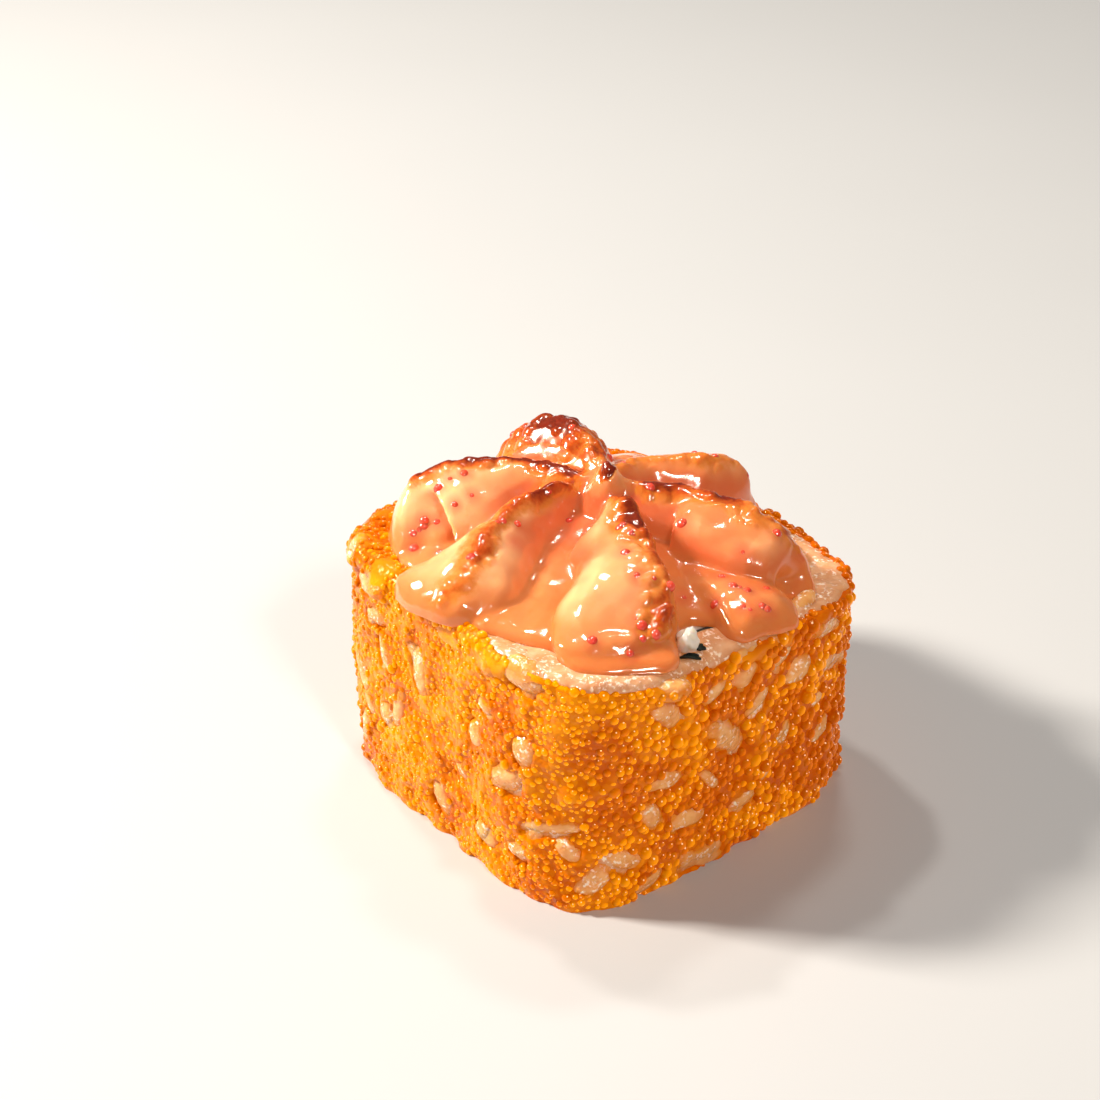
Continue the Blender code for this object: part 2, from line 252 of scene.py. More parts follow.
def squareRadius(angle, half, power):
    # outline of a rounded square, rounder the lower the power
    across = abs(math.cos(angle)) ** power + abs(math.sin(angle)) ** power
    return half * across ** (-1.0 / power)


def sidePoint(angle, share, inset=0.0):
    # on the bare side of the roll, at this share of its height
    radius = squareRadius(angle, roll["half"], roll["squareness"]) - inset
    radius += roll["cornerBulge"] * max(0.0, math.cos(angle - roll["cornerTurn"])) ** 8
    x = radius * math.cos(angle)
    y = radius * math.sin(angle)
    z = share * topOf((x, y))
    wave = noise.noise(Vector((x, y, z)) / roll["waveSize"])
    ripple = noise.noise(Vector((x, y, z * 0.6)) / roll["rippleSize"])
    swell = roll["uneven"] * (wave + 0.5 * ripple)
    x += swell * math.cos(angle)
    y += swell * math.sin(angle)
    y -= roll["frontBulge"] * max(0.0, -math.sin(angle)) ** 2 * share
    return Vector((x, y, z))


def noriEdge(angle, gap=0.0):
    # on the outline of the nori, or this far outside it
    radius = squareRadius(angle, roll["noriHalf"] + gap, roll["noriSquareness"])
    return Vector((radius * math.cos(angle), radius * math.sin(angle) + roll["noriShift"], 0))


def sideNormal(angle, share):
    step = 0.03
    along = sidePoint(angle + step, share) - sidePoint(angle - step, share)
    return along.cross(Vector((0, 0, 1))).normalized()


def skinPoint(angle, rise, inset=0.0):
    # place and outward direction on the bare roll; rise runs up the side and on over the rim
    height = topOf(sidePoint(angle, 1.0))
    bend = roll["rimRound"]
    outward = sideNormal(angle, 1.0)
    upward = Vector((0, 0, 1))
    if rise < height - bend:
        share = max(rise, 0.0) / height
        outward = sideNormal(angle, share)
        return sidePoint(angle, share) - outward * inset, outward
    over = rise - (height - bend)
    centre = sidePoint(angle, 1.0 - bend / height) - outward * bend
    if over < bend * math.pi / 2:
        turn = over / bend
        outward = outward * math.cos(turn) + upward * math.sin(turn)
        return centre + outward * (bend - inset), outward
    point = centre - outward * (over - bend * math.pi / 2)
    point.z = topOf(point) - inset
    return point, upward


def frameAt(point, outward, along):
    # placement whose Z points outward and whose X follows along as far as the surface allows
    side = outward.cross(along).normalized()
    ahead = side.cross(outward)
    turn = Matrix((ahead, side, outward)).transposed().to_4x4()
    return Matrix.Translation(point) @ turn


camera = {
    "turn": math.radians(-40),     # about the roll
    "tilt": math.radians(59),      # up from straight down
    "place": (-0.004493, -0.186738, 0.134278),   # before the turn
    "photoSide": 1100,
    "focus": 2500,                 # focal length in the photograph's pixels
}


def cameraMatrix():
    turn = Matrix.Rotation(camera["turn"], 4, "Z")
    return turn @ Matrix.Translation(camera["place"]) @ Matrix.Rotation(camera["tilt"], 4, "X")


def photoRay(x, y):
    # from the camera through a pixel of the photograph, in the roll's own frame
    middle = camera["photoSide"] / 2
    matrix = cameraMatrix()
    ahead = Vector(((x - middle) / camera["focus"], (middle - y) / camera["focus"], -1.0))
    return matrix.translation - shift, (matrix.to_3x3() @ ahead).normalized()


def placeCamera():
    lens = bpy.data.cameras.new("camera")
    lens.sensor_width = 36
    lens.lens = 36 * camera["focus"] / camera["photoSide"]
    lens.clip_start = 0.01
    view = bpy.data.objects.new("camera", lens)
    view.matrix_world = cameraMatrix()
    bpy.context.scene.collection.objects.link(view)
    bpy.context.scene.camera = view


placeCamera()
print("camera placed")


rice = {
    "grainLength": (5.2 * mm, 6.8 * mm),
    "grainWidth": (2.0 * mm, 2.6 * mm),
    "grainFlat": 0.82,         # height of a grain as a share of its width
    "grainShapes": 6,
    "sideGrains": 330,
    "sideRise": (0.6 * mm, 22.6 * mm),
    "sideSunk": (0.45, 0.81),  # how deep a grain's middle lies, in widths: under the roe and past it
    "topGrains": 70,
    "topLength": (3.6 * mm, 5.4 * mm),
    "topSunk": 0.74,
    "bareSunk": 0.36,
    "bareRoom": 1.9 * mm,      # least distance of the others from a bare grain's middle
    "bareRise": (0.5 * mm, 22 * mm),
    "bareBehind": 34,          # bare grains on the sides that the photograph doesn't show
    "behind": (math.radians(-40), math.radians(170)),   # azimuths of those sides
    "bareLength": (3.5 * mm, 6.5 * mm),
    "bareWidth": (1.8 * mm, 2.6 * mm),
    "bareLonger": 1.0 * mm,    # what the glaze hides of a bare grain that the photograph shows
    "bareWider": 1.2,
    "bedInset": 0.60 * mm,     # the bed between the grains lies this far under the skin
    "topInset": 0.22 * mm,     # and on the top only this far
    "lump": 0.3 * mm,
    "lumpSize": 2.1 * mm,
    "stainEdge": (0.42, 0.90),  # the glaze's orange fades out between these values of bareAt
    "columns": 300,
    "sideRows": 40,
    "topRows": 8,
}

# Grains that lie bare among the roe, each from its one end to its other in the
# photograph's pixels, with its width in mm.
bareGrains = (
    (385, 632, 392, 672, 2.2),
    (418, 640, 428, 696, 2.3),
    (372, 690, 376, 712, 1.4),
    (484, 700, 494, 712, 1.8),
    (478, 722, 482, 745, 2.2),
    (414, 770, 406, 806, 1.8),
    (436, 775, 452, 815, 2.0),
    (480, 822, 498, 842, 1.8),
    (496, 776, 528, 782, 3.0),
    (520, 738, 528, 766, 2.4),
    (518, 824, 580, 826, 1.9),
    (505, 668, 542, 690, 2.4),
    (512, 838, 530, 856, 2.2),
    (652, 700, 676, 722, 2.6),
    (702, 722, 742, 750, 3.0),
    (742, 716, 764, 684, 2.4),
    (786, 680, 806, 656, 2.3),
    (808, 736, 824, 716, 1.9),
    (830, 700, 842, 682, 1.8),
    (642, 782, 680, 774, 2.0),
    (640, 806, 656, 820, 2.2),
    (666, 824, 700, 810, 2.0),
    (726, 806, 754, 786, 2.2),
    (798, 799, 828, 777, 2.4),
    (671, 864, 722, 842, 2.8),
    (598, 858, 640, 858, 2.4),
    (634, 890, 658, 868, 2.0),
    (580, 892, 604, 868, 2.4),
    (594, 908, 620, 898, 1.8),
    (362, 572, 380, 588, 2.6),
    (398, 818, 420, 806, 1.8),
    (772, 824, 796, 812, 1.6),
    (806, 634, 836, 616, 2.4),
    (786, 638, 770, 666, 2.1),
    (818, 668, 838, 648, 2.0),
    (748, 660, 737, 686, 2.6),
    (721, 678, 702, 702, 2.1),
    (785, 724, 777, 738, 1.0),
    (560, 842, 578, 858, 1.6),
    (484, 822, 488, 834, 1.4),
    (462, 760, 470, 776, 1.6),
    (700, 770, 712, 782, 1.2),
    (806, 702, 818, 690, 1.3),
    (772, 738, 784, 720, 1.2),
    (757, 776, 766, 758, 1.2),
)


def bedPoint(angle, rise):
    # deep between the grains of the sides, nearly level with them on the top
    below = topOf(sidePoint(angle, 1.0)) - rise
    inset = rice["topInset"] + (rice["bedInset"] - rice["topInset"]) * smoothStep(below, 0.6 * mm, 2.4 * mm)
    point, outward = skinPoint(angle, rise, inset)
    lump = rice["lump"] * (noiseAt(point, rice["lumpSize"]) + 0.4 * noiseAt(point, 0.9 * mm, 5.0))
    return point + outward * lump


def riceBed():
    count = rice["columns"]
    angles = [math.tau * index / count for index in range(count)]
    rows = rice["sideRows"]
    topRows = rice["topRows"]

    def inner(angle, level):
        point = noriEdge(angle, 0.1 * mm)
        point.z = level * (topOf(point) - rice["topInset"])
        return point

    sections = [[inner(angle, 0) for angle in angles]]
    sections.append([sidePoint(angle, 0.0, roll["footRound"] + 0.4 * mm) for angle in angles])
    for row in range(rows + 1):
        share = 0.02 + 0.98 * row / rows
        section = []
        for angle in angles:
            rise = share * (topOf(sidePoint(angle, 1.0)) + roll["rimRound"] * (math.pi / 2 - 1))
            section.append(bedPoint(angle, rise))
        sections.append(section)
    rim = sections[-1]
    for row in range(1, topRows + 1):
        section = []
        for angle, edge in zip(angles, rim):
            point = edge.lerp(inner(angle, 1), row / topRows)
            lump = rice["lump"] * noiseAt(point, rice["lumpSize"])
            point.z = topOf(point) - rice["topInset"] + lump
            section.append(point)
        sections.append(section)
    return skin(sections, closed=True)


def grainShape(number):
    # a cooked grain along X, 1 long and 1 wide: blunt ends, soft lumps, a slight bend and taper
    shape = bmesh.new()
    bmesh.ops.create_uvsphere(shape, u_segments=14, v_segments=9, radius=0.5)
    bend = chance.uniform(-0.10, 0.10)
    taper = chance.uniform(-0.16, 0.16)
    for vertex in shape.verts:
        across, other, along = vertex.co
        length = 2.0 * along
        fullness = max(0.0, 1.0 - abs(length) ** 2.7) ** 0.5 / max(0.05, (1.0 - length * length) ** 0.5)
        wide = fullness * (1.0 + taper * length)
        lump = 1.0 + 0.12 * noise.noise(Vector((along * 5, across * 3, other * 3 + number * 9)))
        bent = other * wide + bend * (1 - length * length)
        vertex.co = Vector((along, bent * lump, across * wide * lump))
    return shapeArrays(shape)


def layGrain(point, outward, along, length, width, depth):
    matrix = frameAt(point - outward * depth, outward, along)
    return matrix @ Matrix.Diagonal((length, width, width * rice["grainFlat"], 1.0))


def skinDistance(first, second):
    # between two places given as azimuth and rise
    turn = (first[0] - second[0] + math.pi) % math.tau - math.pi
    return math.hypot(turn * roll["half"] * 1.12, first[1] - second[1])


def spreadPlaces(count, tries, draw):
    # each next place is the farthest from the earlier ones among some tries
    chosen = []

    def room(option):
        return min((skinDistance(option, other) for other in chosen), default=1.0)

    while len(chosen) < count:
        options = [draw() for _ in range(tries)]
        options.sort(key=room)
        chosen.append(options[-1])
    return chosen


bedVertices, bedFaces = riceBed()
bedVertices = aboveFloor(bedVertices)
bedTree = BVHTree.FromPolygons(bedVertices.tolist(), bedFaces)
grainShapes = [grainShape(number) for number in range(rice["grainShapes"])]


def bareGrainPlaces():
    # the grains of the list, cast from the camera onto the bed
    places = []
    for startX, startY, endX, endY, width in bareGrains:
        start = bedTree.ray_cast(*photoRay(startX, startY))
        end = bedTree.ray_cast(*photoRay(endX, endY))
        if start[0] is None or end[0] is None:
            continue
        along = end[0] - start[0]
        middle = (start[0] + end[0]) / 2
        outward = (start[1] + end[1]).normalized()
        middle += outward * rice["bedInset"]
        length = along.length + rice["bareLonger"]
        places.append((middle, outward, along.normalized(), length, width * rice["bareWider"] * mm))
    return places


def lengthwise(outward, level, tilt):
    # direction on the surface, tilted from the level one
    return level * math.cos(tilt) + outward.cross(level) * math.sin(tilt)


def moreBareGrains():
    # more like them on the sides behind
    def draw():
        return chance.uniform(*rice["behind"]), chance.uniform(*rice["bareRise"])

    made = []
    for angle, rise in spreadPlaces(rice["bareBehind"], 5, draw):
        point, outward = skinPoint(angle, rise)
        tilt = math.radians(chance.uniform(0, 180))
        along = lengthwise(outward, outward.cross(Vector((0, 0, 1))).normalized(), tilt)
        length = chance.uniform(*rice["bareLength"])
        made.append((point, outward, along, length, chance.uniform(*rice["bareWidth"])))
    return made


bareLaid = bareGrainPlaces() + moreBareGrains()


# How far the roe goes on over the rim toward the sauce, in mm, at azimuths in degrees.
reach = {
    "azimuth": (0, 20, 60, 100, 130, 150, 165, 176, 190, 200, 210,
                225, 240, 255, 265, 280, 290, 300, 320, 340, 360),
    "over": (1.0, 1.4, 1.8, 2.4, 2.7, 2.5, 1.8, 0.8, 0.5, 0.1, -0.9,
             -1.3, -1.5, -1.8, -1.6, -1.3, -1.0, -0.9, -0.7, 0.2, 1.0),
    "ragged": 0.7,
}


def topReach(angle):
    over = np.interp(math.degrees(angle) % 360, reach["azimuth"], reach["over"])
    ragged = reach["ragged"] * noise.noise(Vector((math.cos(angle) * 7, math.sin(angle) * 7, 4.0)))
    return (over + ragged) * mm


def overRim(angle, rise):
    # how far a rise goes on over the rim; below 0 on the side
    return rise - topOf(sidePoint(angle, 1.0)) - 0.4 * mm


def grainCopies():
    kinds = rice["grainShapes"]
    shallow, deep = rice["sideSunk"]
    copies = []
    for point, outward, along, length, width in bareLaid:
        matrix = layGrain(point, outward, along, length, width, rice["bareSunk"] * width)
        copies.append((chance.randrange(kinds), matrix))

    def draw():
        return chance.uniform(0, math.tau), chance.uniform(*rice["sideRise"])

    for angle, rise in spreadPlaces(rice["sideGrains"], 8, draw):
        point, outward = skinPoint(angle, rise)
        if min((point - place[0]).length for place in bareLaid) < rice["bareRoom"]:
            continue
        over = overRim(angle, rise)
        tilt = math.radians(chance.gauss(90, 45) if over < -4.0 * mm else chance.gauss(0, 15))
        level = outward.cross(Vector((0, 0, 1)))
        if level.length < 0.2:
            level = sideNormal(angle, 1.0).cross(Vector((0, 0, 1)))
        along = lengthwise(outward, level.normalized(), tilt)
        length = chance.uniform(*rice["grainLength"])
        width = chance.uniform(*rice["grainWidth"])
        end = topReach(angle)
        sunk = shallow + (deep - shallow) * smoothStep(over, end - 2.4 * mm, end - 1.0 * mm)
        matrix = layGrain(point, outward, along, length, width, sunk * width)
        copies.append((chance.randrange(kinds), matrix))

    for _ in range(rice["topGrains"]):
        angle = chance.uniform(0, math.tau)
        outer = sidePoint(angle, 1.0, 0.6 * mm)
        point = noriEdge(angle).lerp(outer, chance.uniform(0.3, 0.95))
        point.z = topOf(point)
        along = Vector((-math.sin(angle), math.cos(angle), chance.uniform(-0.05, 0.05)))
        along += Vector((chance.uniform(-0.5, 0.5), chance.uniform(-0.5, 0.5), 0))
        width = chance.uniform(*rice["grainWidth"])
        length = chance.uniform(*rice["topLength"])
        matrix = layGrain(point, Vector((0, 0, 1)), along, length, width, rice["topSunk"] * width)
        copies.append((chance.randrange(kinds), matrix))
    return copies


grainMatrices = grainCopies()
grainVertices, grainFaces, _ = joinCopies(grainShapes, grainMatrices)
grainVertices = aboveFloor(grainVertices)
print("grains laid", len(grainMatrices))


roe = {
    "size": (0.78 * mm, 1.24 * mm),
    "large": 1.45 * mm,
    "largeShare": 1 / 14,
    "leftSize": 0.70,          # the eggs of the left side are smaller by this factor
    "leftTurn": math.radians(183),
    "sizeSpread": 0.25,
    "tightness": 0.66,         # least distance of two eggs, as a share of their size
    "bareGap": 0.88,           # how far eggs keep off the bare grains
    "tries": 42000,
    "rise": (0.2 * mm, 26.0 * mm),
    "sunk": (0.0, 0.34),       # how deep the middle of an egg lies in the glaze, as a share of its size
    "leftSunk": 0.12,          # more than that on the left side
    "flatness": 0.88,
    "glinting": 0.62,          # share of the eggs with a painted glint
    "glintTurn": 0.22,         # how much the painted glints wander sideways
    "light": Vector((-0.80, 0.05, 0.60)),   # toward the light that gathers in the eggs
    "tone": 0.62,              # 0 for the yellowest roe, 1 for the deepest orange
    # the tone is painted paler toward the lit left side as painted light, and is deeper on the top
    "paintedLightLeft": 0.34,
    "paintedLightTurn": math.radians(175),
    "deeperTop": 0.40,
    "toneSpread": 0.7,
    "eggSpread": 0.17,         # of the tone from egg to egg
}

bareTree = nearestTree([place[0] for place in bareLaid])


def bareAt(point):
    # below 1 on a bare grain, more away from it
    least = 9.0
    for _, number, _ in bareTree.find_range(point, 5.0 * mm):
        middle, outward, along, length, width = bareLaid[number]
        away = point - middle
        across = outward.cross(along)
        ahead = abs(away.dot(along)) / (0.5 * length)
        beside = abs(away.dot(across)) / (0.5 * width)
        least = min(least, (ahead ** 2.5 + beside ** 2.5) ** 0.4)
    ragged = 0.32 * noiseAt(point, 1.3 * mm, 2.0) + 0.16 * noiseAt(point, 0.6 * mm, 4.0)
    return least + ragged


glaze = {
    "columns": 440,
    "step": 0.30 * mm,
    "rise": 26.4 * mm,         # from the base up the side and over the rim
    "thickness": 0.26 * mm,
    "dip": 0.9 * mm,           # how far it sinks under a bare grain
    "bareEdge": (0.58, 0.84),  # it does so between these values of bareAt
    "lump": 0.10 * mm,
}

surfaceTree = BVHTree.FromPolygons(
    np.concatenate((bedVertices, grainVertices)).tolist(),
    bedFaces + (grainFaces + len(bedVertices)).tolist())


def reliefAt(angle, rise):
    # the skin's place and direction there, and how far the rice stands out from it
    place, outward = skinPoint(angle, rise)
    hit, _, _, distance = surfaceTree.ray_cast(place + outward * 2 * mm, -outward)
    return place, outward, 2 * mm - distance if hit else -rice["bedInset"]


def blurred(grid, rounds):
    # soft filter that wraps round the columns
    for _ in range(rounds):
        grid = (2 * grid + np.roll(grid, 1, 1) + np.roll(grid, -1, 1)) / 4
        padded = np.pad(grid, ((1, 1), (0, 0)), "edge")
        grid = (2 * grid + padded[:-2] + padded[2:]) / 4
    return grid


def glazeShell():
    columns = glaze["columns"]
    rows = int(glaze["rise"] / glaze["step"])
    places, directions = [], []
    relief = np.zeros((rows, columns))
    cover = np.zeros((rows, columns))
    for row in range(rows):
        for column in range(columns):
            angle = math.tau * column / columns
            rise = row * glaze["step"]
            place, outward, relief[row, column] = reliefAt(angle, rise)
            places.append(place)
            directions.append(outward)
            end = topReach(angle)
            ending = 1.0 - smoothStep(overRim(angle, rise), end - 0.3 * mm, end + 0.7 * mm)
            cover[row, column] = smoothStep(bareAt(place), *glaze["bareEdge"]) * ending
    height = 0.65 * blurred(relief, 9) + 0.35 * blurred(relief, 3) + glaze["thickness"]
    height = height * cover + (relief - glaze["dip"]) * (1.0 - cover)
    nearGrain = smoothStep(blurred(relief, 2), -0.30 * mm, 0.05 * mm)
    vertices = []
    for number, (place, outward) in enumerate(zip(places, directions)):
        row, column = divmod(number, columns)
        lump = glaze["lump"] * noiseAt(place, 1.0 * mm, 12.0)
        vertices.append(place + outward * (height[row, column] + lump))
    vertices, faces = skin(np.array(vertices).reshape(rows, columns, 3), closed=False)
    return vertices, faces, nearGrain


glazeVertices, glazeFaces, nearGrain = glazeShell()
glazeVertices = aboveFloor(glazeVertices)
glazeTree = BVHTree.FromPolygons(glazeVertices.tolist(), glazeFaces)
print("glaze laid", len(glazeVertices))


def held(value):
    return min(1.0, max(0.0, value))


def toneAt(point):
    # tone of the roe and its glaze: paler toward the left side as painted light, deeper on the top, and
    # varying at random
    toLeft = math.cos(math.atan2(point.y, point.x) - roe["paintedLightTurn"])
    onTop = smoothStep(point.z - topOf(point), -1.4 * mm, 0.0)
    tone = roe["tone"] - roe["paintedLightLeft"] * toLeft + roe["deeperTop"] * onTop
    return held(tone + roe["toneSpread"] * noiseAt(point, 5.0 * mm, 11.0))


def eggPlaces():
    # thrown at random where glaze lies, each kept only where the earlier ones leave it room
    places = []
    taken = {}
    room = roe["large"]
    for _ in range(roe["tries"]):
        angle = chance.uniform(0, math.tau)
        rise = chance.uniform(*roe["rise"])
        if overRim(angle, rise) > topReach(angle):
            continue
        place, outward = skinPoint(angle, rise)
        toLeft = smoothStep(math.cos(angle - roe["leftTurn"]), 0.35, 0.95)
        size = roe["large"] if chance.random() < roe["largeShare"] else chance.uniform(*roe["size"])
        size *= 1.0 + (roe["leftSize"] - 1.0) * toLeft
        size *= 1.0 + roe["sizeSpread"] * noiseAt(place, 6.0 * mm, 17.0)
        cell = tuple(int(math.floor(value / room)) for value in place)
        near = [other for x in (-1, 0, 1) for y in (-1, 0, 1) for z in (-1, 0, 1)
                for other in taken.get((cell[0] + x, cell[1] + y, cell[2] + z), ())]
        if any((place - other).length < roe["tightness"] * (size + width) / 2 for other, width in near):
            continue
        row = min(int(rise / glaze["step"]), len(nearGrain) - 1)
        column = int(angle / math.tau * glaze["columns"]) % glaze["columns"]
        overGrain = nearGrain[row, column] > 0.75 and noiseAt(place, 3.0 * mm, 7.0) > -0.05
        if overGrain or bareAt(place) < roe["bareGap"]:
            continue
        taken.setdefault(cell, []).append((place, size))
        places.append((place, outward, size))
    return places


def eggShape(subdivisions):
    shape = bmesh.new()
    bmesh.ops.create_icosphere(shape, subdivisions=subdivisions, radius=0.5)
    return shapeArrays(shape)


def eggCopies():
    # the eggs' matrices, whose Z points to where each egg has its painted glint, their tones and outward
    # directions
    copies, tones, facings = [], [], []
    for place, outward, size in eggPlaces():
        point, _, _, _ = glazeTree.ray_cast(place + outward * 3 * mm, -outward)
        if point is None:
            continue
        toLeft = max(0.0, -outward.x)
        centre = point - outward * (chance.uniform(*roe["sunk"]) + roe["leftSunk"] * toLeft) * size
        centre.z = max(centre.z, 0.5 * size)
        aside = roe["glintTurn"]
        wander = Vector((chance.gauss(0, aside), chance.gauss(0, aside), 0.60 + chance.gauss(0, 0.15)))
        glinting = outward * 0.75 + wander if chance.random() < roe["glinting"] else -outward
        along = Vector((chance.gauss(0, 1), chance.gauss(0, 1), chance.gauss(0, 1)))
        squash = Matrix.Diagonal((size, size * chance.uniform(0.88, 1.0), size * roe["flatness"], 1.0))
        copies.append((0, frameAt(centre, glinting.normalized(), along) @ squash))
        tones.append(held(toneAt(centre) + chance.gauss(0, roe["eggSpread"])))
        facings.append(outward)
    return copies, tones, facings


def eggLights(template, members):
    # at each vertex, how near it is to the point that faces outward, to the spot where the light from the
    # left gathers inside the egg, and to the painted glint
    corners = template[0] * 2   # directions from the egg's middle
    poles, spots, glints = [], [], []
    light = roe["light"]
    for number in members:
        outward = eggFacings[number]
        target = (outward * (1.0 + light.dot(outward)) - light * 1.1).normalized()
        directions = corners @ np.array(eggMatrices[number][1].to_3x3().normalized()).T
        poles.append(directions @ np.array(outward))
        spots.append(directions @ np.array(target))
        glints.append(corners[:, 2])
    return {"pole": np.concatenate(poles), "spot": np.concatenate(spots), "glint": np.concatenate(glints)}


eggMatrices, eggTones, eggFacings = eggCopies()
print("eggs laid", len(eggMatrices))


sauce = {
    "voxel": 0.21 * mm,
    "soften": 12,
    "padHalf": 16.3 * mm,
    "padSquareness": 3.1,
    "padEdge": 1.5 * mm,
    "padMiddle": 3.0 * mm,
    "padSlope": 13.0 * mm,
    "notchTurn": 259.0,        # azimuth of the notch in the pad, in degrees
    "notchDepth": 2.2 * mm,
    "notchWidth": 8.0,
    "swellTurn": 193.0,        # azimuth where the pad reaches farther out
    "swellDepth": 1.5 * mm,
    "swellWidth": 12.0,
    "peakPlace": (0.7 * mm, -0.2 * mm),
    "peakHeight": 9.0 * mm,
    "peakRadius": 2.4 * mm,
    "peakBrown": 1.3,          # as in the fins
    "peakBand": 3.2 * mm,
    "finDepth": 1.5 * mm,
    "finLeast": 0.3 * mm,      # least width of a flank
    "sunk": 0.3 * mm,          # into the rice
    "blister": 0.36 * mm,      # relief of the baked skin
    "blisterSize": 1.5 * mm,
    "uneven": 0.22 * mm,
    "fineUneven": 0.09 * mm,
    "paintedLightSauceTurn": math.radians(172),   # azimuth of the side with the most painted light
    "litTurn": math.radians(150),     # and of the one where the hollows are light
    "around": 2.4 * mm,        # a place is hollow or swollen against the sauce this far from it
}

